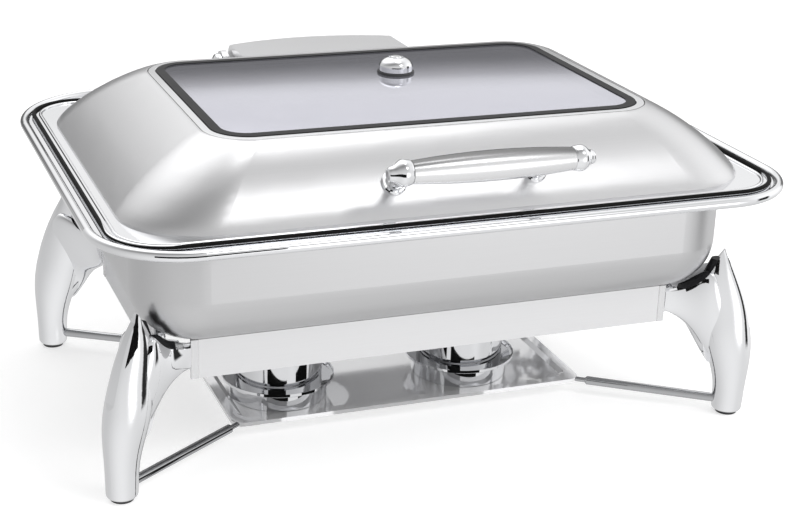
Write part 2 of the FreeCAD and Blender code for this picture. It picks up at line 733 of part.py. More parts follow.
def handle_screw_lines():
    """Clearance holes through the lid shell for the two handle screws."""
    foot, along = post_line()
    right = rod(HANDLE_SCREW_RADIUS, foot - along * 10, foot + along * 10)
    return [right, mirror_x(right)]


def handle_screws():
    """Two screws inside the lid, each with a washer cut to the lid's curve."""
    foot, along = post_line()
    seat = foot - along * HANDLE_SCREW_SEAT
    head = Part.makeCone(HANDLE_SCREW_HEAD - 1.2, HANDLE_SCREW_HEAD, HANDLE_SCREW_HEAD_HEIGHT,
                         seat - along * HANDLE_SCREW_HEAD_HEIGHT, along)
    washer = rod(HANDLE_SCREW_HEAD + 1.0, seat, seat + along * HANDLE_WASHER_THICK)
    shank = rod(HANDLE_SCREW_RADIUS, seat, foot + along * HANDLE_SCREW_TIP)
    inside_crown, _ = lid_block(LID_WALL)
    screw = head.fuse(washer.common(inside_crown)).fuse(shank)
    screw = max(screw.Solids, key=lambda solid: solid.Volume)
    return Part.makeCompound([screw, mirror_x(screw)])


# Hinge

def ear(x0, x1):
    """Upright ear of the hinge base with a round head on the hinge axis."""
    foot = side_plate(x0, x1, [(BASE_FRONT, DECK_TOP), (BASE_REAR - 2, DECK_TOP),
                               (PIVOT_Y + EAR_RADIUS * 0.94, PIVOT_Z - EAR_RADIUS * 0.34),
                               (PIVOT_Y - EAR_RADIUS * 0.80, PIVOT_Z - EAR_RADIUS * 0.60)])
    return foot.fuse(cross_bar(EAR_RADIUS, x0, x1))


def hinge_base():
    """Foot plate on the deck with an upright ear at each end."""
    foot = block(-EAR_OUTER, EAR_OUTER, BASE_FRONT, BASE_REAR, DECK_TOP, DECK_TOP + BASE_THICK)
    base = foot.fuse(ear(EAR_INNER, EAR_OUTER)).fuse(ear(-EAR_OUTER, -EAR_INNER))
    base = base.cut(cross_bar(PIN_RADIUS + RUNNING_GAP, -PIN_BORE_HALF, PIN_BORE_HALF))
    for x in HINGE_SCREWS_X:
        base = base.cut(hinge_screw_bore(x))
    return base.removeSplitter()


def hinge_damper():
    """Damper barrel round the pin, with two end collars, on a saddle that stands on the base."""
    barrel = cross_bar(DAMPER_RADIUS, -DAMPER_HALF, DAMPER_HALF)
    for low in (-DAMPER_HALF, DAMPER_HALF - DAMPER_COLLAR_LENGTH):
        barrel = barrel.fuse(cross_bar(DAMPER_COLLAR, low, low + DAMPER_COLLAR_LENGTH))
    saddle = block(-SADDLE_HALF, SADDLE_HALF, SADDLE_FRONT, SADDLE_REAR,
                   DECK_TOP + BASE_THICK, PIVOT_Z - DAMPER_RADIUS / 2)
    bore = cross_bar(PIN_RADIUS + RUNNING_GAP, -PIN_BORE_HALF, PIN_BORE_HALF)
    return barrel.fuse(saddle).cut(bore).removeSplitter()


def hinge_pin():
    """Cross pin with a round cap on each end, outside the ears."""
    pin = cross_bar(PIN_RADIUS, -PIN_HALF, PIN_HALF)
    length = PIN_CAP_END - PIN_HALF
    profile = [(0, 0), (PIN_CAP_RADIUS, 0), (PIN_CAP_RADIUS, length * 0.35),
               (PIN_CAP_RADIUS * 0.93, length * 0.66),
               (PIN_CAP_RADIUS * 0.74, length * 0.88), (PIN_CAP_RADIUS * 0.42, length), (0, length)]
    cap = turned(profile, Vector(PIN_HALF - 0.2, PIVOT_Y, PIVOT_Z), Vector(1, 0, 0))
    return pin.fuse(cap).fuse(mirror_x(cap)).removeSplitter()


def lid_bracket(x0, x1, radius, top):
    """Plate from the lid's rear wall to a round head on the hinge axis."""
    reach = side_plate(x0, x1, [(ARM_WALL_TOP_Y, top), ARM_WALL_FOOT, (PIVOT_Y - 2, PIVOT_Z - radius),
                                (PIVOT_Y + radius * 0.9, PIVOT_Z + 3), (PIVOT_Y, top)])
    bore = cross_bar(PIN_RADIUS, -PIN_BORE_HALF, PIN_BORE_HALF)
    bracket = reach.fuse(cross_bar(radius, x0, x1)).cut(bore).cut(lid_outside())
    return max(bracket.Solids, key=lambda solid: solid.Volume)


def hinge_arm():
    """Right lid bracket, pressed on the pin."""
    return lid_bracket(ARM_INNER, ARM_OUTER, ARM_RADIUS, HOOD_TOP - HOOD_THICK)


def hinge_hood():
    """Flat cover over the hinge with a bowed rear edge and a cheek down each side."""
    low = HOOD_TOP - HOOD_THICK
    front_left = Vector(-HOOD_HALF, HOOD_FRONT, low)
    front_right = Vector(HOOD_HALF, HOOD_FRONT, low)
    edges = [
        Part.LineSegment(front_left, front_right).toShape(),
        Part.LineSegment(front_right, Vector(HOOD_HALF, HOOD_CORNER_Y, low)).toShape(),
        Part.Arc(Vector(HOOD_HALF, HOOD_CORNER_Y, low), Vector(0, HOOD_BOW_Y, low),
                 Vector(-HOOD_HALF, HOOD_CORNER_Y, low)).toShape(),
        Part.LineSegment(Vector(-HOOD_HALF, HOOD_CORNER_Y, low), front_left).toShape(),
    ]
    top = Part.Face(Part.Wire(edges)).extrude(Vector(0, 0, HOOD_THICK)).cut(lid_outside())
    top = max(top.Solids, key=lambda solid: solid.Volume)
    cheek = lid_bracket(HOOD_HALF - HOOD_THICK, HOOD_HALF, CHEEK_RADIUS, low)
    hood = top.fuse(cheek).fuse(mirror_x(cheek))
    return hood.removeSplitter()


def hinge_screws():
    """Screws down through the hinge's foot and the deck."""
    screws = []
    for x in HINGE_SCREWS_X:
        seat = Vector(x, HINGE_SCREW_Y, DECK_TOP + BASE_THICK)
        tip = Vector(x, HINGE_SCREW_Y, DECK_TOP - DECK_THICK - HINGE_NUT_HEIGHT - 1)
        shank = rod(HINGE_SCREW_RADIUS, tip, seat)
        head = Part.makeCone(HINGE_SCREW_HEAD, HINGE_SCREW_HEAD - 1.0, HINGE_SCREW_HEAD_HEIGHT,
                             seat, Vector(0, 0, 1))
        screws.append(shank.fuse(head))
    return Part.makeCompound(screws)


def hinge_nuts():
    """Nuts under the deck."""
    nuts = []
    for x in HINGE_SCREWS_X:
        low = Vector(x, HINGE_SCREW_Y, DECK_TOP - DECK_THICK - HINGE_NUT_HEIGHT)
        nut = hexagon(HINGE_NUT_RADIUS, HINGE_NUT_HEIGHT, low, Vector(0, 0, 1))
        nuts.append(nut.cut(rod(HINGE_SCREW_RADIUS, low - Vector(0, 0, 1), low + Vector(0, 0, 5))))
    return Part.makeCompound(nuts)


# Stand

def rail(half, face, ledge):
    """Front rail of the given half length: a folded channel with proud polished ends and two studs."""
    web = block(-half, half, -face, -face + RAIL_THICK, RAIL_BOTTOM, RAIL_TOP)
    shelf = block(-half + RAIL_END, half - RAIL_END, -face, -face + ledge, RAIL_TOP - RAIL_THICK, RAIL_TOP)
    lip = block(-half + RAIL_END, half - RAIL_END, -face, -face + RAIL_LIP,
                RAIL_BOTTOM, RAIL_BOTTOM + RAIL_THICK)
    channel = web.fuse(shelf).fuse(lip)
    for side in (-1, 1):
        inner = side * (half - RAIL_END)
        outer = side * half
        end = block(min(inner, outer), max(inner, outer), -face - RAIL_END_PROUD, -face + RAIL_THICK,
                    RAIL_BOTTOM, RAIL_TOP)
        upright = [e for e in end.Edges if e.BoundBox.ZLength > 30 and e.BoundBox.YMax < -face]
        channel = channel.fuse(end.makeFillet(RAIL_END_ROUND, upright))
        x = side * (half - STUD_INSET)
        channel = channel.fuse(rod(STUD_RADIUS, Vector(x, -face + RAIL_THICK / 4, STUD_Z),
                                   Vector(x, -face + RAIL_THICK + STUD_LENGTH, STUD_Z)))
    return channel.removeSplitter()


def front_rail():
    """The long rail, facing the front."""
    return rail(RAIL_FRONT_HALF, RAIL_FRONT_FACE, RAIL_LEDGE)


def side_rail():
    """The left rail is the same channel, shorter, turned to face -X."""
    channel = rail(RAIL_SIDE_HALF, RAIL_SIDE_FACE, RAIL_SIDE_LEDGE)
    channel.rotate(Vector(0, 0, 0), Vector(0, 0, 1), -90)
    return channel


def ellipse_wire(centre, long_half, short_half, normal, long_axis):
    """Ellipse as a wire; the two halves always start on its long axis."""
    short_axis = normal.cross(long_axis)
    if long_half < short_half:
        raise ValueError("the long half must be the longer one")
    curve = Part.Ellipse(centre + long_axis * long_half, centre + short_axis * short_half, centre)
    return Part.Wire([curve.toShape()])


def tusk():
    """The leg's tapering curved body, widest at knee height and pointed at the top."""
    outwards = Vector(math.cos(math.radians(LEG_TURN)), math.sin(math.radians(LEG_TURN)), 0)
    wires = []
    for z, x, y, long_half, short_half in LEG_SECTIONS:
        wires.append(ellipse_wire(Vector(x, y, z), long_half + 0.01, short_half, Vector(0, 0, 1), outwards))
    body = Part.makeLoft(wires, True, False)
    foot_z = LEG_SECTIONS[0][0]
    sole_edges = [edge for edge in body.Edges if edge.BoundBox.ZMax < foot_z + 0.1]
    return body.makeFillet(FOOT_ROUND, sole_edges)


def arm(sections, along_x):
    """One of the two arms that grow out of the tusk to a rail end."""
    wires = []
    for along, across, z, half_width, half_height, lean in sections:
        out = math.sin(math.radians(lean))
        up = math.cos(math.radians(lean))
        if along_x:
            wires.append(ellipse_wire(Vector(along, across, z), half_height, half_width,
                                      Vector(1, 0, 0), Vector(0, -out, up)))
        else:
            wires.append(ellipse_wire(Vector(across, along, z), half_height, half_width,
                                      Vector(0, 1, 0), Vector(out, 0, up)))
    return Part.makeLoft(wires, True, False)


def facet_cutter():
    """Block with a hollow face that shapes the long leaf-shaped facet on the leg's outer side."""
    level = FACET_NORMAL.cross(Vector(0, 0, 1)).normalize()
    uphill = FACET_NORMAL.cross(level)
    cutter = block(-FACET_REACH, FACET_REACH, -FACET_REACH, FACET_REACH, 0, FACET_REACH)
    bulge = Part.makeCylinder(FACET_RADIUS, 2 * FACET_REACH,
                              Vector(-FACET_REACH, 0, FACET_BULGE - FACET_RADIUS), Vector(1, 0, 0))
    cutter = cutter.cut(bulge)
    cutter.Placement = Placement(FACET_MIDDLE, Rotation(level, uphill, FACET_NORMAL, "ZXY"))
    return cutter


def cradle():
    """Hollow round the pan's corner: flat below, then a round bend into a steep straight wall."""
    slope = math.radians(CRADLE_SLOPE)
    centre = Vector(PAN_HALF_X - PAN_CORNER, -PAN_HALF_Y + PAN_CORNER, CRADLE_BOTTOM)

    def on_bend(angle):
        out = CRADLE_FLAT + CRADLE_RADIUS * math.sin(angle)
        return centre + Vector(out, 0, CRADLE_RADIUS * (1 - math.cos(angle)))

    bend_end = on_bend(slope)
    brink = bend_end + Vector(1 / math.tan(slope), 0, 1) * (CRADLE_TOP - bend_end.z)
    top = Vector(centre.x, centre.y, CRADLE_TOP)
    face = Part.Face(Part.Wire([
        Part.LineSegment(centre, on_bend(0)).toShape(),
        Part.Arc(on_bend(0), on_bend(slope / 2), bend_end).toShape(),
        Part.LineSegment(bend_end, brink).toShape(),
        Part.LineSegment(brink, top).toShape(),
        Part.LineSegment(top, centre).toShape(),
    ]))
    corner = face.revolve(centre, Vector(0, 0, 1), -90)
    side = face.extrude(Vector(0, CRADLE_REACH, 0))
    face.rotate(centre, Vector(0, 0, 1), -90)
    front = face.extrude(Vector(-CRADLE_REACH, 0, 0))
    return corner.fuse(side).fuse(front)


def leg_body():
    """Front right tusk and arms, before anything is hollowed out of them."""
    return tusk().fuse(arm(FRONT_ARM, True)).fuse(arm(SIDE_ARM, False))


def leg(front_right_rod):
    """Front right leg: tusk and two arms with screw tabs, hollowed for the pan's corner."""
    body = leg_body().cut(cradle()).cut(facet_cutter())
    tab_y = -RAIL_FRONT_FACE + RAIL_THICK
    front_tab = block(RAIL_FRONT_HALF - TAB_LENGTH, RAIL_FRONT_HALF + TAB_SINK,
                      tab_y, tab_y + TAB_THICK, TAB_BOTTOM, TAB_TOP)
    tab_x = RAIL_SIDE_FACE - RAIL_THICK
    side_tab = block(tab_x - TAB_THICK, tab_x,
                     -RAIL_SIDE_HALF - TAB_SINK, -RAIL_SIDE_HALF + TAB_LENGTH, TAB_BOTTOM, TAB_TOP)
    body = body.fuse(front_tab).fuse(side_tab)
    front_hole = Vector(RAIL_FRONT_HALF - STUD_INSET, tab_y - 20, STUD_Z)
    side_hole = Vector(tab_x - 20, -RAIL_SIDE_HALF + STUD_INSET, STUD_Z)
    body = body.cut(rod(STUD_RADIUS, front_hole, front_hole + Vector(0, 40, 0)))
    body = body.cut(rod(STUD_RADIUS, side_hole, side_hole + Vector(40, 0, 0)))
    body = body.cut(front_right_rod)
    return max(body.Solids, key=lambda solid: solid.Volume)


def cushion():
    """Rubber cushion in the front right leg's hollow, between the steel and the pan's corner."""
    grow = CUSHION_GAP
    pan = dish(PAN_HALF_X + grow, PAN_HALF_Y + grow, PAN_CORNER + grow, PAN_FILLET + grow,
               PAN_BOTTOM - grow, PAN_TOP)
    room = block(CUSHION_FRONT_END, RIM_HALF_X, RIM_FRONT, CUSHION_SIDE_END,
                 CRADLE_BOTTOM - 1, CUSHION_TOP)
    fill = leg_body().common(cradle()).cut(pan).common(room)
    return max(fill.Solids, key=lambda solid: solid.Volume)


def pan_cushions():
    """The four legs' cushions."""
    right = cushion()
    left = mirror_x(right)
    return Part.makeCompound([right, left, mirror_y(right), mirror_y(left)])


def leg_nuts():
    """Eight nuts on the rail studs, behind the tabs."""
    nuts = []
    front = -RAIL_FRONT_FACE + RAIL_THICK + TAB_THICK
    side = RAIL_SIDE_FACE - RAIL_THICK - TAB_THICK
    spots = [
        (Vector(RAIL_FRONT_HALF - STUD_INSET, front, STUD_Z), Vector(0, 1, 0)),
        (Vector(side, -RAIL_SIDE_HALF + STUD_INSET, STUD_Z), Vector(-1, 0, 0)),
    ]
    for start, axis in spots:
        nut = hexagon(NUT_RADIUS, NUT_HEIGHT, start, axis)
        nut = nut.cut(rod(STUD_RADIUS, start - axis, start + axis * (NUT_HEIGHT + 1)))
        nuts += [nut, mirror_x(nut), mirror_y(nut), mirror_x(mirror_y(nut))]
    return Part.makeCompound(nuts)


def foot_pads():
    """Round pad under each leg."""
    z, x, y = LEG_SECTIONS[0][:3]
    pads = []
    for side in (-1, 1):
        for end in (-1, 1):
            centre = Vector(side * x, end * y, 0)
            pad = Part.makeCylinder(PAD_RADIUS, z, centre)
            rim = [e for e in pad.Edges if e.BoundBox.ZMax < 0.01 and e.BoundBox.XLength > 1]
            pads.append(pad.makeFillet(PAD_ROUND, rim))
    return Part.makeCompound(pads)


def tray_loft(grow, low, high):
    """Solid with the sunk panel's sloped sides, grown all round, between two heights."""
    wires = []
    for z in (low, high):
        inset = RECESS_SLOPE * (TRAY_TOP - z) / RECESS_DEPTH - grow
        half_x = RECESS_HALF_X - inset
        half_y = RECESS_HALF_Y - inset
        corner = RECESS_CORNER - inset
        wires.append(outline(half_x, -half_y, half_y, corner, corner, z))
    return Part.makeLoft(wires, True, True)


def fuel_tray():
    """Tray with a flat border round a sunk panel with sloped sides, and a short skirt folded down."""
    border = plate(TRAY_HALF_X, -TRAY_HALF_Y, TRAY_HALF_Y, TRAY_CORNER, TRAY_CORNER, TRAY_BOTTOM, TRAY_TOP)
    under = plate(TRAY_HALF_X - TRAY_WALL, -TRAY_HALF_Y + TRAY_WALL, TRAY_HALF_Y - TRAY_WALL,
                  TRAY_CORNER - TRAY_WALL, TRAY_CORNER - TRAY_WALL, TRAY_BOTTOM - 1, TRAY_TOP - TRAY_WALL)
    floor = TRAY_TOP - RECESS_DEPTH
    well = tray_loft(0, floor, TRAY_TOP + 1)
    basin = tray_loft(2 * TRAY_WALL, floor - TRAY_WALL, TRAY_TOP)
    return border.cut(under).fuse(basin).cut(well).removeSplitter()


def tray_block():
    """The tray's outline as a tall block, for cutting the rods to it."""
    return plate(TRAY_HALF_X, -TRAY_HALF_Y, TRAY_HALF_Y, TRAY_CORNER, TRAY_CORNER,
                 TRAY_BOTTOM - 5, TRAY_TOP + 5)


def tie_rod():
    """Front right rod: thick bar from the leg, with a thin neck into the tray's corner."""
    run = (ROD_LEG_END - ROD_TRAY_END).normalize()
    neck_end = ROD_TRAY_END + run * ROD_NECK_END
    thin = rod(ROD_NECK_RADIUS, ROD_TRAY_END, neck_end + run)
    shoulder = Part.makeCone(ROD_NECK_RADIUS, ROD_RADIUS, ROD_SHOULDER, neck_end, run)
    thick = rod(ROD_RADIUS, neck_end + run * ROD_SHOULDER, ROD_LEG_END)
    return thin.fuse(shoulder).fuse(thick).cut(tray_block()).removeSplitter()


# Burners, made round the origin and moved to their places

def burner_holder():
    """Cup in a wide saucer on a skirt, with a lug for the cover's pin on the +X side."""
    wall = BURNER_WALL
    lip_top = SAUCER_Z + SAUCER_LIP
    bend = SAUCER_RADIUS - SAUCER_BEND
    rise = SAUCER_Z + SAUCER_RISE
    skirt = turned([(SKIRT_RADIUS - wall, BURNER_BOTTOM), (SKIRT_RADIUS, BURNER_BOTTOM),
                    (SKIRT_RADIUS, SAUCER_Z), (SKIRT_RADIUS - wall, SAUCER_Z)], Vector(0, 0, 0))
    saucer = turned([(CUP_RADIUS - wall, SAUCER_Z), (bend + 0.5, SAUCER_Z),
                     (SAUCER_RADIUS, rise - 0.6), (SAUCER_RADIUS, lip_top),
                     (SAUCER_RADIUS - wall, lip_top), (SAUCER_RADIUS - wall, rise),
                     (bend, SAUCER_Z + wall), (CUP_RADIUS - wall, SAUCER_Z + wall)],
                    Vector(0, 0, 0))
    cup = turned([(0, CUP_FLOOR), (CUP_RADIUS, CUP_FLOOR), (CUP_RADIUS, CUP_TOP),
                  (CUP_RADIUS - wall, CUP_TOP), (CUP_RADIUS - wall, CUP_FLOOR + wall),
                  (0, CUP_FLOOR + wall)],
                 Vector(0, 0, 0))
    lug_low = lip_top - LUG_THICK
    lug = Part.makeCylinder(LUG_RADIUS, LUG_THICK, Vector(LUG_X, 0, lug_low))
    neck = block(SAUCER_RADIUS - 1.0, LUG_X, -LUG_RADIUS, LUG_RADIUS, lug_low, lip_top)
    hole = Part.makeCylinder(COVER_PIN_RADIUS, 20, Vector(LUG_X, 0, lug_low - 5))
    body = skirt.fuse(saucer).fuse(cup).fuse(lug).fuse(neck)
    bowl = turned([(CUP_RADIUS, SAUCER_Z + wall), (bend, SAUCER_Z + wall),
                   (SAUCER_RADIUS - wall, rise), (SAUCER_RADIUS - wall, lip_top + 5),
                   (CUP_RADIUS, lip_top + 5)], Vector(0, 0, 0))
    return body.cut(bowl).cut(hole).removeSplitter()


def fuel_can():
    """Round fuel can with rolled seams and a sunk mouth."""
    low = CUP_FLOOR + BURNER_WALL + CAN_GAP
    wall = CAN_RADIUS - CAN_SEAM
    crest = CAN_RADIUS - CAN_SEAM_WIDTH
    inside = crest - 0.6
    seam_end = CAN_SEAM_HEIGHT + CAN_SEAM_SLOPE
    sunk_top = CAN_TOP - CAN_SEAM_DEPTH
    mouth_floor = CAN_TOP - CAN_MOUTH_DEPTH
    return turned([
        (0, low + CAN_SEAM_DEPTH), (inside, low + CAN_SEAM_DEPTH), (crest, low), (CAN_RADIUS, low),
        (CAN_RADIUS, low + CAN_SEAM_HEIGHT), (wall, low + seam_end), (wall, CAN_TOP - seam_end),
        (CAN_RADIUS, CAN_TOP - CAN_SEAM_HEIGHT), (CAN_RADIUS, CAN_TOP), (crest, CAN_TOP),
        (inside, sunk_top), (CAN_MOUTH_RADIUS, sunk_top), (CAN_MOUTH_RADIUS, mouth_floor),
        (0, mouth_floor),
    ], Vector(0, 0, 0))


def cover_pin():
    """Pin in the burner's lug, with a collar under the cover's arm and a head over it."""
    lip_top = SAUCER_Z + SAUCER_LIP
    foot = Vector(LUG_X, 0, lip_top - LUG_THICK)
    pin = Part.makeCylinder(COVER_PIN_RADIUS, COVER_PIN_TOP - foot.z, foot)
    collar_top = COVER_BOTTOM - COVER_GAP
    collar = Part.makeCylinder(COVER_PIN_RADIUS + COVER_PIN_COLLAR, collar_top - lip_top,
                               Vector(LUG_X, 0, lip_top))
    head_z = COVER_BOTTOM + COVER_ARM_THICK + COVER_GAP
    head = Part.makeCylinder(COVER_PIN_RADIUS + COVER_PIN_HEAD, COVER_PIN_TOP - head_z,
                             Vector(LUG_X, 0, head_z))
    return pin.fuse(collar).fuse(head).removeSplitter()


def burner_cover():
    """Cover plate with a knob and an arm to the pin, shown swung open."""
    low = COVER_BOTTOM
    edge_top = low + COVER_THICK
    top = edge_top + COVER_STEP
    step_foot = COVER_RADIUS - COVER_STEP_INSET
    disc = turned([(0, low), (COVER_RADIUS, low), (COVER_RADIUS, edge_top), (step_foot, edge_top),
                   (step_foot - 3, top), (0, top)], Vector(0, 0, 0))
    knob_top = top + COVER_KNOB_HEIGHT
    knob = turned([(0, top), (COVER_KNOB_NECK, top), (COVER_KNOB_NECK, top + COVER_KNOB_NECK_HEIGHT),
                   (COVER_KNOB_RADIUS, knob_top - 5), (COVER_KNOB_RADIUS, knob_top - 2),
                   (COVER_KNOB_RADIUS - 2.2, knob_top), (0, knob_top)], Vector(0, 0, 0))
    arm_plate = block(COVER_RADIUS - 6, LUG_X, -COVER_ARM_HALF, COVER_ARM_HALF, low, low + COVER_ARM_THICK)
    eye = Part.makeCylinder(COVER_ARM_HALF + 1.0, COVER_ARM_THICK, Vector(LUG_X, 0, low))
    bore = Part.makeCylinder(COVER_PIN_RADIUS + RUNNING_GAP, 20, Vector(LUG_X, 0, low - 5))
    cover = disc.fuse(knob).fuse(arm_plate).fuse(eye).cut(bore).removeSplitter()
    cover.rotate(Vector(LUG_X, 0, 0), Vector(0, 0, 1), COVER_OPEN)
    return cover


def at_burner(shape, number):
    """Moves a burner piece to its place, turned so that the lug is at the rear."""
    moved = shape.copy()
    moved.rotate(Vector(0, 0, 0), Vector(0, 0, 1), 90)
    moved.translate(Vector(BURNER_X[number], BURNER_Y, 0))
    return moved


def build():
    """Write every piece of the dish to its own file."""
    os.makedirs("parts", exist_ok=True)

    save("water_pan", water_pan())
    save("pan_rim", pan_rim())
    save("food_pan", food_pan())

    save("lid_dome", lid_dome())
    save("lid_rim", lid_rim())
    save("window_bezel", window_bezel())
    save("window_gasket", window_gasket())
    save("window_glass", window_glass())
    save("vent_washer", vent_washer())
    save("vent_cap", vent_cap())
    save("vent_stem", vent_stem())
    save("vent_nut", vent_nut())

    save("handle_bar", handle_bar())
    cap = handle_cap()
    save("handle_cap_right", cap)
    save("handle_cap_left", mirror_x(cap))
    post = handle_post()
    save("handle_post_right", post)
    save("handle_post_left", mirror_x(post))
    save("handle_screws", handle_screws())

    save("hinge_base", hinge_base())
    save("hinge_damper", hinge_damper())
    save("hinge_pin", hinge_pin())
    bracket = hinge_arm()
    save("hinge_arm_right", bracket)
    save("hinge_arm_left", mirror_x(bracket))
    save("hinge_hood", hinge_hood())
    save("hinge_screws", hinge_screws())
    save("hinge_nuts", hinge_nuts())

    front = front_rail()
    save("rail_front", front)
    save("rail_rear", half_turn(front))
    left = side_rail()
    save("rail_left", left)
    save("rail_right", half_turn(left))

    full_rod = tie_rod()
    front_right = leg(full_rod)
    cut_rod = max(full_rod.cut(front_right).Solids, key=lambda solid: solid.Volume)
    save("leg_front_right", front_right)
    save("leg_front_left", mirror_x(front_right))
    save("leg_rear_right", mirror_y(front_right))
    save("leg_rear_left", mirror_x(mirror_y(front_right)))
    save("tie_rod_front_right", cut_rod)
    save("tie_rod_front_left", mirror_x(cut_rod))
    save("tie_rod_rear_right", mirror_y(cut_rod))
    save("tie_rod_rear_left", mirror_x(mirror_y(cut_rod)))
    save("pan_cushions", pan_cushions())
    save("leg_nuts", leg_nuts())
    save("foot_pads", foot_pads())
    save("fuel_tray", fuel_tray())

    for number, side in enumerate(("left", "right")):
        save(f"burner_holder_{side}", at_burner(burner_holder(), number))
        save(f"fuel_can_{side}", at_burner(fuel_can(), number))
        save(f"burner_cover_{side}", at_burner(burner_cover(), number))
        save(f"cover_pin_{side}", at_burner(cover_pin(), number))


build()
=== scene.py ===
# %% [markdown]
# # Dressing a hydraulic chafing dish
#
# The packed model brings every solid of the dish: the stand, the pans, the lid and the burners.
# This lesson gives each one the finish of the real thing. Polished and satin stainless steel show
# mostly what stands round them, so the light and the dark cards of the studio matter as much as
# the materials do.

# %% Load the dish
import json
import math

import bpy
import numpy as np
from mathutils import Matrix, Vector


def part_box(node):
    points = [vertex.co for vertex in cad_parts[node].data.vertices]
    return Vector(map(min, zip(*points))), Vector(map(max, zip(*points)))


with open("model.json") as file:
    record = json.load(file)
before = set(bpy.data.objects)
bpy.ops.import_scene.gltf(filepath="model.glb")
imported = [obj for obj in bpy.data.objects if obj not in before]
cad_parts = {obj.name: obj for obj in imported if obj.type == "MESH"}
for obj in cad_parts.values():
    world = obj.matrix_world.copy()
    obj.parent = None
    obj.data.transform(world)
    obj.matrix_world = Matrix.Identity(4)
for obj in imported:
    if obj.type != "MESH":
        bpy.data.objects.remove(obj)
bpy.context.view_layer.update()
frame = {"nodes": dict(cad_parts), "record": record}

# %% [markdown]
# ## Camera
#
# The photograph was taken from the front left, about twenty degrees above the table. The camera's
# place, turn and lens were solved from the outlines of the lid, the deck and the feet. The turn was
# found as the directions right, down and ahead. Blender's camera has right, up and back as the
# columns of its matrix, so the last two are turned round. A camera could also be aimed at the dish
# by hand, but then every edge would lie a little off the photograph's.

# %% Camera
CAMERA_PLACE = (-0.4980, -1.3035, 0.6432)
CAMERA_RIGHT = (0.941813, -0.335325, 0.023340)
CAMERA_DOWN = (-0.098280, -0.341106, -0.934873)
CAMERA_AHEAD = (0.321447, 0.878182, -0.354214)
CAMERA_LENS = 74.13
CAMERA_SENSOR = 36.0
CAMERA_SHIFT = 0.049


def make_camera():
    """Camera whose matrix has its right, up and back directions as columns, and its place."""
    data = bpy.data.cameras.new("camera")
    data.sensor_width = CAMERA_SENSOR
    data.lens = CAMERA_LENS
    data.shift_x = CAMERA_SHIFT
    camera = bpy.data.objects.new("camera", data)
    columns = (CAMERA_RIGHT, [-c for c in CAMERA_DOWN], [-c for c in CAMERA_AHEAD])
    turn = Matrix([[column[row] for column in columns] for row in range(3)]).to_4x4()
    camera.matrix_world = Matrix.Translation(CAMERA_PLACE) @ turn
    bpy.context.scene.collection.objects.link(camera)
    bpy.context.scene.camera = camera
    return camera


print("camera at", [round(v, 3) for v in make_camera().location])
bpy.context.scene.view_settings.view_transform = "Standard"

# %% [markdown]
# ## A pen for shader maths
#
# Shader nodes are easier to read as sums. `Value` wraps one socket, and adding or multiplying two
# of them adds the Math node that does it. `Paper` is the sheet that the nodes are drawn on. Blender's
# Mix node has a socket of each name for every kind of data, so its colour sockets go by number.

# %% Shader helpers
MIX_FIRST = 6
MIX_SECOND = 7
MIX_RESULT = 2


class Value:
    """One number or colour that a material works out: arithmetic on it adds Math nodes."""

    def __init__(self, paper, socket):
        self.paper = paper
        self.socket = socket

    def math(self, operation, *others):
        """The Math node that works on this value and the others."""
        inputs = [self] + list(others)
        return self.paper.node("ShaderNodeMath", {"operation": operation}, dict(enumerate(inputs)))

    def __add__(self, other):
        return self.math("ADD", other)

    def __sub__(self, other):
        return self.math("SUBTRACT", other)

    def __mul__(self, other):
        return self.math("MULTIPLY", other)

    def __rsub__(self, other):
        return self.paper.node("ShaderNodeMath", {"operation": "SUBTRACT"}, {0: other, 1: self})

    def __abs__(self):
        return self.math("ABSOLUTE")

    def step(self, low, high):
        """Zero below low, one above high and a smooth rise between."""
        return self.paper.node("ShaderNodeMapRange", {"interpolation_type": "SMOOTHSTEP"}, {
            "Value": self, "From Min": low, "From Max": high, "To Min": 0.0, "To Max": 1.0})

    def band(self, middle, half, soft):
        """One inside a band round the middle, zero outside it, with soft edges."""
        return 1 - abs(self - middle).step(half - soft, half + soft)

    __radd__ = __add__
    __rmul__ = __mul__


class Paper:
    """The node sheet of one material or of the world."""

    def __init__(self, owner, clean=True):
        """Opens the owner's nodes, and clears them unless they are to be added to."""
        owner.use_nodes = True
        self.tree = owner.node_tree
        if clean:
            self.tree.nodes.clear()

    def node(self, kind, settings=None, inputs=None, output=0):
        """Adds a node, sets its settings first, then gives its sockets values or links."""
        made = self.tree.nodes.new(kind)
        for name, value in (settings or {}).items():
            setattr(made, name, value)
        for name, value in (inputs or {}).items():
            if isinstance(value, Value):
                self.tree.links.new(value.socket, made.inputs[name])
            else:
                made.inputs[name].default_value = value
        return Value(self, made.outputs[output]) if made.outputs else None

    def parts(self, vector):
        """The three numbers of a direction or a place."""
        split = self.node("ShaderNodeSeparateXYZ", {}, {"Vector": vector})
        outputs = split.socket.node.outputs
        return [Value(self, outputs[i]) for i in range(3)]

    def colour(self, share, dark, light):
        """Blends two colours by a share from 0 to 1."""
        dark, light = [c if isinstance(c, Value) else (*c, 1) for c in (dark, light)]
        return self.node("ShaderNodeMix", {"data_type": "RGBA"}, {
            "Factor": share, MIX_FIRST: dark, MIX_SECOND: light}, output=MIX_RESULT)


print("shader maths:", [name for name in vars(Value) if not name.startswith("__")])

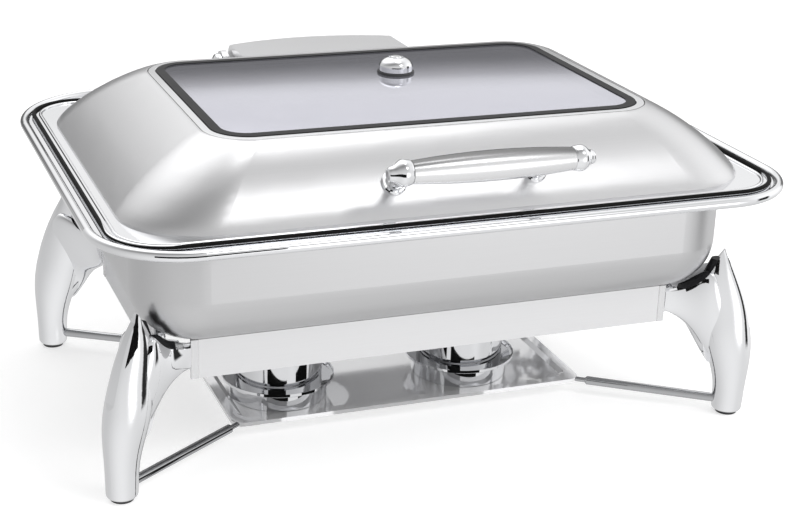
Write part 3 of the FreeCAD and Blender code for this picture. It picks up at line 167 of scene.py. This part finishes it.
# %% [markdown]
# ## The studio
#
# Steel has hardly a colour of its own. It looks like steel because it mirrors a bright room with a
# few dark things in it. A photographer hangs white cloth, a few soft lamps and black cards. Here
# the world holds them: its colour is worked out from the direction of a ray, as turn round the
# dish and height above the horizon, both in degrees.
#
# The lamps are soft round lobes. A polished face shows only that they are white. The satin lid and
# pan blur them into the slow grey waves that the photograph has, so their places and strengths
# were found from those waves. The lobe of negative strength is a grey wall up on the left.
#
# A white cloth hangs low behind the dish. The deck and the lid's flange lie almost flat, so what
# they mirror towards the camera is that cloth, which makes them the brightest bands of the picture.
# Two cards lie near the horizon, one on the right and one behind. The lid and the pan, which face
# up and down, hardly see them, but the legs, the rolled edge and the burners do.
#
# What the camera sees directly is plain white, as in the photograph.

# %% World
FRONT = (-0.3353, -0.9418, 0.0)
RIGHT = (0.9418, -0.3353, 0.0)
ROOM_LEVEL = 0.66
LAMPS = (
    # (turn to the right of the camera, height, sharpness, strength)
    (51.0, 52.0, 150.0, 4.8),
    (43.0, -2.0, 42.0, 2.3),
    (145.0, 75.0, 150.0, 5.0),
    (-150.0, 55.0, 6.0, 2.35),
    (112.0, 20.0, 3.6, 0.62),
    (-132.0, 64.0, 3.4, -1.15),
    (10.0, -40.0, 1.6, 0.30),
)
CARDS = (
    # (turn to the right of the camera, half width, height, half height, edge, darkness)
    (90.0, 10.0, -2.0, 16.0, 3.0, 0.97),
    (180.0, 40.0, 2.0, 11.0, 4.0, 0.80),
)
CLOTH_LEVEL = 0.98
CLOTH_SIDES = (140.0, 165.0)
CLOTH_HEIGHT = 23.0
CLOTH_HALF_HEIGHT = 11.0
CLOTH_EDGE = 3.0
IN_DEGREES = 180.0 / math.pi


def heading(turn, height):
    """The direction at a turn and height in degrees."""
    turn = math.radians(turn)
    height = math.radians(height)
    flat = [math.cos(turn) * f + math.sin(turn) * r for f, r in zip(FRONT, RIGHT)]
    return (math.cos(height) * flat[0], math.cos(height) * flat[1], math.sin(height))


def dot(paper, vector, fixed):
    """How far a direction points along a fixed one."""
    return paper.node("ShaderNodeVectorMath", {"operation": "DOT_PRODUCT"}, {
        0: vector, 1: fixed}, output="Value")


def studio_world():
    """World whose light is a level, plus each lamp's strength times how far the ray faces it, raised
    to its sharpness, but no less than the cloth, and then dimmed inside each card's two bands."""
    world = bpy.data.worlds.new("studio")
    bpy.context.scene.world = world
    paper = Paper(world)
    direction = paper.node("ShaderNodeTexCoord", output="Generated")
    turn = dot(paper, direction, RIGHT).math("ARCTAN2", dot(paper, direction, FRONT)) * IN_DEGREES
    height = dot(paper, direction, (0, 0, 1)).math("ARCSINE") * IN_DEGREES
    light = ROOM_LEVEL
    for lamp_turn, lamp_height, sharpness, strength in LAMPS:
        facing = dot(paper, direction, heading(lamp_turn, lamp_height)).math("MAXIMUM", 0.0)
        light = light + strength * facing.math("POWER", sharpness)
    cloth = abs(turn).step(*CLOTH_SIDES) * height.band(CLOTH_HEIGHT, CLOTH_HALF_HEIGHT, CLOTH_EDGE)
    light = light.math("MAXIMUM", CLOTH_LEVEL * cloth)
    for middle, half_width, level, half_height, edge, darkness in CARDS:
        off = (turn - middle).math("WRAP", 180.0, -180.0)
        card = off.band(0.0, half_width, edge) * height.band(level, half_height, edge)
        light = light * (1 - darkness * card)
    seen = paper.node("ShaderNodeLightPath", output="Is Camera Ray")
    room = light + (1 - light) * seen
    sky = paper.node("ShaderNodeBackground", {}, {"Color": room, "Strength": 1.0})
    paper.node("ShaderNodeOutputWorld", {}, {"Surface": sky})


studio_world()
print("world: lamps", len(LAMPS), "cards", len(CARDS))

# %% [markdown]
# ## The table
#
# A white sheet stands for the table and keeps the dish's soft shadow. The steel looks through it
# to the pale lower half of the world, which is the same sheet further off. The sheet's own grey and
# the glow that only the camera sees add up to white where no shadow falls.

# %% Table
TABLE_HALF = 6.0
TABLE_GREY = 0.62
TABLE_GLOW = 0.55


def output(paper, shader):
    """Hands the finished shader to the material."""
    paper.node("ShaderNodeOutputMaterial", {}, {"Surface": shader})


def stage_board(name, corners, shade):
    """Four-cornered sheet of the stage. The function shade draws its shader on the given paper."""
    mesh = bpy.data.meshes.new(name)
    mesh.from_pydata(corners, [], [(0, 1, 2, 3)])
    board = bpy.data.objects.new(name, mesh)
    bpy.context.scene.collection.objects.link(board)
    material = bpy.data.materials.new(name)
    paper = Paper(material)
    output(paper, shade(paper))
    mesh.materials.append(material)
    return board


def white_sheet(paper):
    """White and shadowed for the camera, grey for soft light, and clear for mirrors."""
    glossy = paper.node("ShaderNodeLightPath", output="Is Glossy Ray")
    seen = paper.node("ShaderNodeLightPath", output="Is Camera Ray")
    sheet = paper.node("ShaderNodeBsdfDiffuse", {}, {"Color": (TABLE_GREY, TABLE_GREY, TABLE_GREY, 1)})
    glow = paper.node("ShaderNodeEmission", {}, {"Color": (1, 1, 1, 1), "Strength": TABLE_GLOW * seen})
    both = paper.node("ShaderNodeAddShader", {}, {0: sheet, 1: glow})
    clear = paper.node("ShaderNodeBsdfTransparent")
    return paper.node("ShaderNodeMixShader", {}, {0: glossy, 1: both, 2: clear})


square = [(-1, -1), (1, -1), (1, 1), (-1, 1)]
stage_board("floor", [(TABLE_HALF * x, TABLE_HALF * y, 0) for x, y in square], white_sheet)
print("table:", 2 * TABLE_HALF, "m wide")

# %% [markdown]
# ## Black boards and lamps
#
# The world's cards are endlessly far away, so every face that points the same way mirrors them
# alike. The black wedges down the front legs and the black foot of each burner begin and end where
# no far card can make them. Three small boards close by do. Only mirrors see them: they cast no
# shadow, and the camera and soft light pass through. One hangs in front of the dish at the height
# of the deck and the lid, and one stands below the table before each burner, where mirrors see
# through the table.
#
# Two soft lamps that no mirror shows lift the shade: a key from the right front, and a long low one
# that reaches in under the deck.

# %% Boards and lamps
BOARD_BLACK = 0.01
BOARDS = {
    # name: (lower left corner, way across, way up)
    "card_front": ((-0.417, -0.382, 0.175), (0.339, -0.121, 0), (0, 0, 0.120)),
    "card_left_burner": ((-0.22, -0.16, -0.06), (0.12, 0, 0), (0, 0, 0.059)),
    "card_right_burner": ((-0.05, -0.16, -0.06), (0.15, 0, 0), (0, 0, 0.059)),
}
SOFT_LAMPS = {
    # name: (place, point it looks at, width and height, watts)
    "key": ((1.1, -1.2, 1.5), (0, 0, 0.15), (1.0, 0.8), 14.0),
    "low_fill": ((-0.4, -1.6, 0.22), (0, 0, 0.05), (1.2, 0.3), 9.0),
}


def dull_black(paper):
    """Black card."""
    return paper.node("ShaderNodeBsdfDiffuse", {}, {"Color": (BOARD_BLACK, BOARD_BLACK, BOARD_BLACK, 1)})


def black_board(name, corner, across, up):
    """Black board that only mirrors see: one corner and the two edges that leave it."""
    corner, across, up = np.array(corner), np.array(across), np.array(up)
    board = stage_board(name, [corner, corner + across, corner + across + up, corner + up], dull_black)
    for rays in ("camera", "diffuse", "shadow", "transmission"):
        setattr(board, "visible_" + rays, False)


def soft_lamp(name, place, aim, size, power):
    """Oblong lamp at a place, turned to look at a point, that no mirror shows."""
    data = bpy.data.lights.new(name, "AREA")
    data.shape = "RECTANGLE"
    data.size, data.size_y = size
    data.energy = power
    lamp = bpy.data.objects.new(name, data)
    lamp.location = place
    lamp.rotation_euler = (Vector(aim) - Vector(place)).to_track_quat("-Z", "Y").to_euler()
    lamp.visible_glossy = False
    bpy.context.scene.collection.objects.link(lamp)


for name, board in BOARDS.items():
    black_board(name, *board)
for name, lamp in SOFT_LAMPS.items():
    soft_lamp(name, *lamp)
print("boards:", list(BOARDS), "lamps:", list(SOFT_LAMPS))

# %% [markdown]
# ## Steel
#
# Two finishes share one recipe. The mirror-polished one is nearly smooth, with a faint waviness
# from pressing that bends the edges of its reflections, and a haze of hairline wipe marks that
# changes the roughness. The satin one is brushed: long fine lines, far shorter across than along,
# made by stretching noise. The lines tilt the surface a little and change its roughness. An
# anisotropic shader smears reflections across the lines as well, but it draws none of them, and
# these show close up.
#
# The scale of a noise is how often it repeats in a metre, so 3200 gives lines a third of a
# millimetre apart, and 24 makes them about four centimetres long.

# %% Metals
NOISE_ROUGH = 0.55
POLISHED_TINT = (0.86, 0.865, 0.88)
POLISHED_ROUGH = 0.03
PRESSED_WAVES = (7.0, 7.0, 7.0)
WAVE_HEIGHT = 0.0006
WAVE_STRENGTH = 0.5
WIPE_MARKS = (60.0, 900.0, 60.0)
SMEARS = (14.0, 14.0, 14.0)
SMEAR_ROUGH = 0.05
SMEAR_SHADE = 0.95
LINES_ACROSS = 3200.0
LINES_ALONG = 24.0
LINE_HEIGHT = 0.00002
COARSE_LINES = 0.22
FINE_SHARE = 0.6
LINE_SHADE = 0.04
LINE_ROUGH = 0.06
CLOUDS = (9.0, 9.0, 9.0)
CLOUD_ROUGH = 0.02
SATIN_BLUE = 1.012


def place_of(paper):
    """The point of the piece that is being shaded, in metres."""
    return paper.node("ShaderNodeTexCoord", output="Object")


def stretched(paper, scale, detail):
    """Noise squeezed by one scale per axis."""
    mapped = paper.node("ShaderNodeMapping", {}, {"Vector": place_of(paper), "Scale": scale})
    return paper.node("ShaderNodeTexNoise", {}, {
        "Vector": mapped, "Scale": 1.0, "Detail": detail, "Roughness": NOISE_ROUGH})


def times(share, colour):
    """A colour made darker or lighter."""
    return tuple(share * c for c in colour)


def polished_steel(name, tint=POLISHED_TINT):
    """Mirror steel: long waves in the surface and a haze of wipe marks."""
    material = bpy.data.materials.new(name)
    paper = Paper(material)
    waves = stretched(paper, PRESSED_WAVES, 1.0)
    marks = stretched(paper, WIPE_MARKS, 3.0)
    smears = stretched(paper, SMEARS, 4.0)
    normal = paper.node("ShaderNodeBump", {}, {
        "Height": waves, "Strength": WAVE_STRENGTH, "Distance": WAVE_HEIGHT})
    output(paper, paper.node("ShaderNodeBsdfPrincipled", {}, {
        "Base Color": paper.colour(smears, times(SMEAR_SHADE, tint), tint), "Metallic": 1.0,
        "Roughness": POLISHED_ROUGH + SMEAR_ROUGH * smears * marks, "Normal": normal}))
    return material


def satin_steel(name, along=0, level=0.72, rough=0.31, lines=0.25, metal=1.0):
    """Brushed steel with its lines along one axis: 0 is X, 1 is Y and 2 is Z. The grain is a share of
    fine lines and the rest of coarse ones, and the roughness swings round the given one."""
    material = bpy.data.materials.new(name)
    paper = Paper(material)
    tint = (level, level, SATIN_BLUE * level)
    scale = [LINES_ACROSS] * 3
    scale[along] = LINES_ALONG
    fine = stretched(paper, tuple(scale), 2.0)
    coarse = stretched(paper, times(COARSE_LINES, scale), 3.0)
    cloud = stretched(paper, CLOUDS, 2.0)
    grain = FINE_SHARE * fine + (1 - FINE_SHARE) * coarse
    swing = LINE_ROUGH * grain + CLOUD_ROUGH * cloud
    normal = paper.node("ShaderNodeBump", {}, {
        "Height": grain, "Strength": lines, "Distance": LINE_HEIGHT})
    base = paper.colour(grain, times(1 - LINE_SHADE, tint), times(1 + LINE_SHADE, tint))
    output(paper, paper.node("ShaderNodeBsdfPrincipled", {}, {
        "Base Color": base, "Metallic": metal, "Normal": normal,
        "Roughness": rough - 0.5 * (LINE_ROUGH + CLOUD_ROUGH) + swing}))
    return material


mirror = polished_steel("polished_steel")
satin = satin_steel("satin_steel_along_x")
satin_y = satin_steel("satin_steel_along_y", along=1)
print("steel finishes:", mirror.name, satin.name, satin_y.name)

# %% [markdown]
# ## Steel pieces with other tones
#
# The photograph's steel isn't equally bright everywhere. The water pan under the deck is greyer
# than the lid. The hood behind the lid is brighter and smoother. The tray is bright, almost
# polished, and partly milky, which a lower metal share gives. The tie rods and the burners stand in
# the shade under the dish, and their darker tints are painted shade: dark grey for the rods, a
# little darker than the legs for the burners. Each is the same recipe with another level, which
# keeps the lines and the wipe marks alike on all of them.

# %% Toned steel
satin_pan = satin_steel("satin_steel_pan", level=0.60)
satin_hood = satin_steel("satin_steel_hood", level=0.86, rough=0.24)
tray_steel = satin_steel("bright_steel_tray", level=0.95, rough=0.07, lines=0.1, metal=0.5)
# The rods' and the burners' darker tints are painted shade of the space under the dish.
shaded_rod_steel = polished_steel("polished_steel_rod_shaded", tint=(0.46, 0.465, 0.475))
shaded_burner_steel = polished_steel("polished_steel_burner_shaded", tint=(0.74, 0.745, 0.76))
print("toned steel:", [m.name for m in (satin_pan, satin_hood, tray_steel, shaded_rod_steel, shaded_burner_steel)])

# %% [markdown]
# ## The handle's bar
#
# The bar is brushed like the lid. In the photograph its crown is dark along the whole length, and
# these lamps don't darken it, so a mask by height paints that shade into its colour. The bar is
# thicker in its middle: its top falls towards the ends as the square of the distance, and the mask
# follows that fall.
#
# To add to a finished metal, `reopened` finds its paper and shader again, and `shaded` paints shade
# into its colour: a dark grey laid over what the shader has.

# %% Handle bar
CROWN_FALL = 0.78
CROWN_DEPTH = 0.0050
# Share and grey of the painted shade on the bar's crown.
CROWN_SHADE_SHARE = 0.9
CROWN_SHADE_GREY = 0.12


def reopened(material):
    """The paper of a finished metal and the shader on it."""
    paper = Paper(material, clean=False)
    return paper, next(n for n in paper.tree.nodes if n.type == "BSDF_PRINCIPLED")


def fed(paper, shader, socket):
    """What reaches a socket of the shader."""
    return Value(paper, shader.inputs[socket].links[0].from_socket)


def shaded(paper, shader, share, dark):
    """Paints shade into the shader's colour: a dark grey laid over it by a share from 0 to 1."""
    base = paper.colour(share, fed(paper, shader, "Base Color"), (dark, dark, dark))
    paper.tree.links.new(base.socket, shader.inputs["Base Color"])


def bar_steel(name):
    """Satin steel with painted shade on its crown, from its top down to a few millimetres below."""
    material = satin_steel(name, level=0.84, rough=0.24)
    paper, shader = reopened(material)
    x, y, z = paper.parts(place_of(paper))
    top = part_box("handle_bar")[1][2]
    crown = (z + CROWN_FALL * (x * x)).step(top - CROWN_DEPTH, top)
    # Painted shade: the crown's colour is laid over with dark grey.
    shaded(paper, shader, CROWN_SHADE_SHARE * crown, CROWN_SHADE_GREY)
    return material


satin_bar = bar_steel("satin_steel_bar")

# %% [markdown]
# ## Rails
#
# The rails between the legs are brushed along their length, with a bright polished strip left at
# each end, next to the leg. One mask along the rail switches the finish. A second mask paints shade
# into the top millimetre, for the dark line that the photograph has along the rail under the pan.
# A second mask darkens the top millimetre, where the photograph has a dark line along the rail. It
# could be a fold or a gap. Faces with materials of their own could do the same, but a solid's mesh is
# never changed here.

# %% Rails
RAIL_STRIP = 0.0065
RAIL_STRIP_ROUGH = 0.07
RAIL_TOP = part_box("rail_front")[1][2]
# Depths, share and grey of the painted shade along the rail's top.
RAIL_TOP_SHADE = (0.0014, 0.0008)
RAIL_TOP_SHADE_SHARE = 0.8
RAIL_TOP_SHADE_GREY = 0.04
SHARP = 0.0002


def rail_steel(name, along, half):
    """Satin steel that is polished over the last few millimetres at both ends, with painted shade on
    top.
    """
    material = satin_steel(name, along=along, level=0.69, rough=0.36, metal=0.7)
    paper, shader = reopened(material)
    place = paper.parts(place_of(paper))
    inner = half - RAIL_STRIP
    strip = abs(place[along]).step(inner - SHARP, inner + SHARP)
    roughness = fed(paper, shader, "Roughness") * (1 - strip) + RAIL_STRIP_ROUGH * strip
    paper.tree.links.new(roughness.socket, shader.inputs["Roughness"])
    # Painted shade along the top edge of the rail, under the pan.
    top_shade = place[2].step(*[RAIL_TOP - depth for depth in RAIL_TOP_SHADE])
    shaded(paper, shader, RAIL_TOP_SHADE_SHARE * top_shade, RAIL_TOP_SHADE_GREY)
    return material


rail_x = rail_steel("rail_steel_along_x", 0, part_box("rail_front")[1][0])
rail_y = rail_steel("rail_steel_along_y", 1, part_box("rail_left")[1][1])
print("rails:", rail_x.name, rail_y.name)

# %% [markdown]
# ## The flange's edge and the window's seam
#
# A thin black line runs all round between lid and deck, and the mirror of the deck doubles it. It
# is painted shade of the gap between them: a dull black band over the top of the flange's bead. It
# is thinner round the front left corner, as in the photograph. A hairline of painted shade also
# follows the foot of the window's frame, where it meets the lid.
#
# Both masks use the distance to a rectangle with round corners. Take the rectangle that is smaller
# by the corner's radius on each side: the outline is all points one radius away from it. A thin
# ring of its own could carry the painted shade, but a mask follows the bead's curve without one.

# %% Flange and seam
FLANGE_CORNER = 0.0475
FLANGE_EDGE = 0.0040
FLANGE_EDGE_THIN = 0.0010
FLANGE_EDGE_LOW = 0.2256
THIN_UP_TO_X = (-0.25, -0.19)
THIN_UP_TO_Y = (-0.17, -0.12)
# The black band's grain, colours, roughness and shine: painted shade of the gap between lid and deck.
GAP_SHADE_GRAIN = (600.0, 600.0, 600.0)
GAP_SHADE_BLACK = (0.004, 0.004, 0.004)
GAP_SHADE_GREY = (0.008, 0.008, 0.008)
GAP_SHADE_ROUGH = 0.5
GAP_SHADE_SHINE = 0.1
WINDOW_CORNER = 0.0382
SEAM_WIDTH = 0.0008
SEAM_SOFT = 0.0003
# Share and grey of the painted shade in the window's seam.
SEAM_SHADE_SHARE = 0.85
SEAM_SHADE_GREY = 0.05
CRISP = 0.0001


def reach_of(paper, node, corner):
    """How far a point lies from the middle rectangle that a round-cornered outline is grown from:
    the root of the squares of how far it is past that rectangle in x and in y."""
    (x0, y0, z0), (x1, y1, z1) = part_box(node)
    x, y, z = paper.parts(place_of(paper))
    over_x = (abs(x) - (x1 - corner)).math("MAXIMUM", 0.0)
    over_y = (abs(y - 0.5 * (y0 + y1)) - (0.5 * (y1 - y0) - corner)).math("MAXIMUM", 0.0)
    return (over_x * over_x + over_y * over_y).math("SQRT"), x, y, z


def gap_shaded_steel(name):
    """Polished steel with painted shade, a dull black band, over the top of the bead: where the reach
    is within the band's width of the outline, and the height is above the bead's foot."""
    material = polished_steel(name)
    paper, shader = reopened(material)
    reach, x, y, z = reach_of(paper, "lid_rim", FLANGE_CORNER)
    full = x.step(*THIN_UP_TO_X).math("MAXIMUM", y.step(*THIN_UP_TO_Y))
    width = FLANGE_EDGE_THIN + (FLANGE_EDGE - FLANGE_EDGE_THIN) * full
    outer = (reach + width).step(FLANGE_CORNER - CRISP, FLANGE_CORNER + CRISP)
    upper = z.step(FLANGE_EDGE_LOW - CRISP, FLANGE_EDGE_LOW + CRISP)
    grain = stretched(paper, GAP_SHADE_GRAIN, 2.0)
    # The dull black band is painted shade of the gap between lid and deck.
    gap_shade = paper.node("ShaderNodeBsdfPrincipled", {}, {
        "Base Color": paper.colour(grain, GAP_SHADE_BLACK, GAP_SHADE_GREY),
        "Roughness": GAP_SHADE_ROUGH + 0.2 * grain, "Specular IOR Level": GAP_SHADE_SHINE})
    mixed = paper.node("ShaderNodeMixShader", {}, {
        0: outer * upper, 1: Value(paper, shader.outputs[0]), 2: gap_shade})
    end = next(n for n in paper.tree.nodes if n.type == "OUTPUT_MATERIAL")
    paper.tree.links.new(mixed.socket, end.inputs["Surface"])
    return material


def seam_shaded_steel(name):
    """Polished steel with a hairline of painted shade round its foot, where the frame meets the lid."""
    material = polished_steel(name)
    paper, shader = reopened(material)
    reach = reach_of(paper, "window_bezel", WINDOW_CORNER)[0]
    seam = (reach + SEAM_WIDTH).step(WINDOW_CORNER - SEAM_SOFT, WINDOW_CORNER + SEAM_SOFT)
    # Painted shade in the seam between the window's frame and the lid.
    shaded(paper, shader, SEAM_SHADE_SHARE * seam, SEAM_SHADE_GREY)
    return material


gap_shaded = gap_shaded_steel("polished_steel_gap_shade")
seam_shaded = seam_shaded_steel("polished_steel_seam_shade")
print("painted shade steel:", gap_shaded.name, seam_shaded.name)

# %% [markdown]
# ## Glass and rubber
#
# The window is smoky glass, light at its front and dark at its rear, as if it were slightly
# crowned. So shallow a crown hardly shows as a shape, but it swings the reflection: a bump with
# the height of a shallow dome tilts the surface by a few degrees from front to rear. Some of the
# dark inside of the dish shows through.
#
# The seal and the foot pads are black silicone rubber: dull, with a fine moulded grain. The window's
# seal and the cushions on the legs are the blackest places of the photograph, so they get a darker
# and less shiny rubber.

# %% Glass and rubber
GLASS_FRONT_TO_REAR = 0.28
GLASS_SIDEWAYS = 0.05
GLASS_TINT = (0.70, 0.70, 0.78)
GLASS_DUSTY = (0.74, 0.74, 0.82)
GLASS_METAL = 0.85
GLASS_ROUGH = 0.03
GLASS_ALPHA = 0.82
DUST = (30.0, 30.0, 30.0)
RUBBER_GRAIN = (900.0, 900.0, 900.0)
RUBBER_CLOUD = (40.0, 40.0, 40.0)
FINE_HEIGHT = 0.0001


def smoked_glass(name):
    """Dark mirror with some see-through. Its crown's height falls as the squares of x and y."""
    material = bpy.data.materials.new(name)
    paper = Paper(material)
    x, y, z = paper.parts(place_of(paper))
    crown = -GLASS_FRONT_TO_REAR * (y * y) - GLASS_SIDEWAYS * (x * x)
    normal = paper.node("ShaderNodeBump", {}, {"Height": crown, "Strength": 1.0, "Distance": 1.0})
    dust = stretched(paper, DUST, 3.0)
    output(paper, paper.node("ShaderNodeBsdfPrincipled", {}, {
        "Base Color": paper.colour(dust, GLASS_TINT, GLASS_DUSTY), "Metallic": GLASS_METAL,
        "Roughness": GLASS_ROUGH + 0.04 * dust, "Alpha": GLASS_ALPHA + 0.03 * dust, "Normal": normal}))
    return material


def black_rubber(name, tint=(0.018, 0.018, 0.019), rough=0.45, shine=0.5):
    """Dull rubber: a fine moulded grain, and clouds that change its tint and roughness a little."""
    material = bpy.data.materials.new(name)
    paper = Paper(material)
    grain = stretched(paper, RUBBER_GRAIN, 2.0)
    cloud = stretched(paper, RUBBER_CLOUD, 2.0)
    normal = paper.node("ShaderNodeBump", {}, {
        "Height": grain, "Strength": 0.3, "Distance": FINE_HEIGHT})
    base = paper.colour(cloud, tint, times(1.6, tint))
    output(paper, paper.node("ShaderNodeBsdfPrincipled", {}, {
        "Base Color": base, "Roughness": rough + 0.12 * cloud, "Normal": normal,
        "Specular IOR Level": shine}))
    return material


glass = smoked_glass("smoked_glass")
rubber = black_rubber("black_rubber")
seal_rubber = black_rubber("seal_rubber", (0.006, 0.006, 0.007), 0.4, shine=0.25)
# The washer under the vent cap gets a near-black rubber: painted shade, for the soft shadow ring round
# the cap's foot.
washer_shade_rubber = black_rubber("washer_grey", (0.03, 0.03, 0.032), 0.5)
print("glass and rubber:", [m.name for m in (glass, rubber, seal_rubber, washer_shade_rubber)])

# %% [markdown]
# ## Can and damper
#
# The fuel cans are plain tinned sheet, with soft streaks from rolling round the can. The damper is
# a painted housing with a fine orange-peel surface. The photograph shows neither, so both finishes
# are the usual ones of such parts.

# %% Can and damper
ROLLING_STREAKS = (25.0, 25.0, 700.0)
TIN_CLOUD = (35.0, 35.0, 35.0)
TIN_DARK = (0.62, 0.63, 0.64)
TIN_LIGHT = (0.74, 0.75, 0.76)
PAINT_PEEL = (420.0, 420.0, 420.0)
PAINT_CLOUD = (30.0, 30.0, 30.0)
PAINT_DARK = (0.10, 0.10, 0.11)
PAINT_LIGHT = (0.14, 0.14, 0.15)


def tinned_sheet(name):
    """Tinned sheet: level streaks round the can change its roughness and tilt it a little."""
    material = bpy.data.materials.new(name)
    paper = Paper(material)
    streaks = stretched(paper, ROLLING_STREAKS, 3.0)
    cloud = stretched(paper, TIN_CLOUD, 3.0)
    normal = paper.node("ShaderNodeBump", {}, {
        "Height": streaks, "Strength": 0.2, "Distance": FINE_HEIGHT})
    base = paper.colour(cloud, TIN_DARK, TIN_LIGHT)
    output(paper, paper.node("ShaderNodeBsdfPrincipled", {}, {
        "Base Color": base, "Metallic": 1.0, "Roughness": 0.22 + 0.14 * streaks, "Normal": normal}))
    return material


def painted_housing(name):
    """Dark paint: its orange peel is a fine bump, and clouds change its tint and roughness."""
    material = bpy.data.materials.new(name)
    paper = Paper(material)
    peel = stretched(paper, PAINT_PEEL, 1.0)
    cloud = stretched(paper, PAINT_CLOUD, 2.0)
    normal = paper.node("ShaderNodeBump", {}, {
        "Height": peel, "Strength": 0.4, "Distance": FINE_HEIGHT})
    base = paper.colour(cloud, PAINT_DARK, PAINT_LIGHT)
    output(paper, paper.node("ShaderNodeBsdfPrincipled", {}, {
        "Base Color": base, "Metallic": 0.2, "Roughness": 0.35 + 0.1 * cloud, "Normal": normal}))
    return material


tin = tinned_sheet("can_tin")
paint = painted_housing("damper_paint")
print("can and damper:", tin.name, paint.name)

# %% [markdown]
# ## Giving each piece its finish
#
# The record says which slot each piece takes, and each slot has one finish. Pieces whose brushing
# runs another way, whose tone differs, or that carry painted shade, are listed by name and go first.

# %% Assign
finish_of_slot = {
    "satin_steel": satin, "polished_steel": mirror, "smoked_glass": glass, "black_rubber": rubber,
    "damper_steel": paint, "can_tin": tin, "washer_grey": washer_shade_rubber,
}
finish_of_piece = {
    **{name: shaded_rod_steel for name in frame["nodes"] if name.startswith("tie_rod")},
    **{name: shaded_burner_steel for name in frame["nodes"] if name.startswith("burner_holder")},
    "rail_front": rail_x, "rail_rear": rail_x, "rail_left": rail_y, "rail_right": rail_y,
    "hinge_arm_left": satin_y, "hinge_arm_right": satin_y, "water_pan": satin_pan,
    "handle_bar": satin_bar, "hinge_hood": satin_hood, "lid_rim": gap_shaded, "window_bezel": seam_shaded,
    "fuel_tray": tray_steel, "pan_cushions": seal_rubber, "window_gasket": seal_rubber,
}
slot_of = {row["node"]: row["material_slot"] for row in frame["record"]["subparts"]}
for name, piece in frame["nodes"].items():
    for slot in piece.material_slots:
        slot.material = finish_of_piece.get(name, finish_of_slot[slot_of[name]])
print("finished pieces:", len(frame["nodes"]))

# %% [markdown]
# ## The end
#
# Every piece is a solid of the model with a new finish.
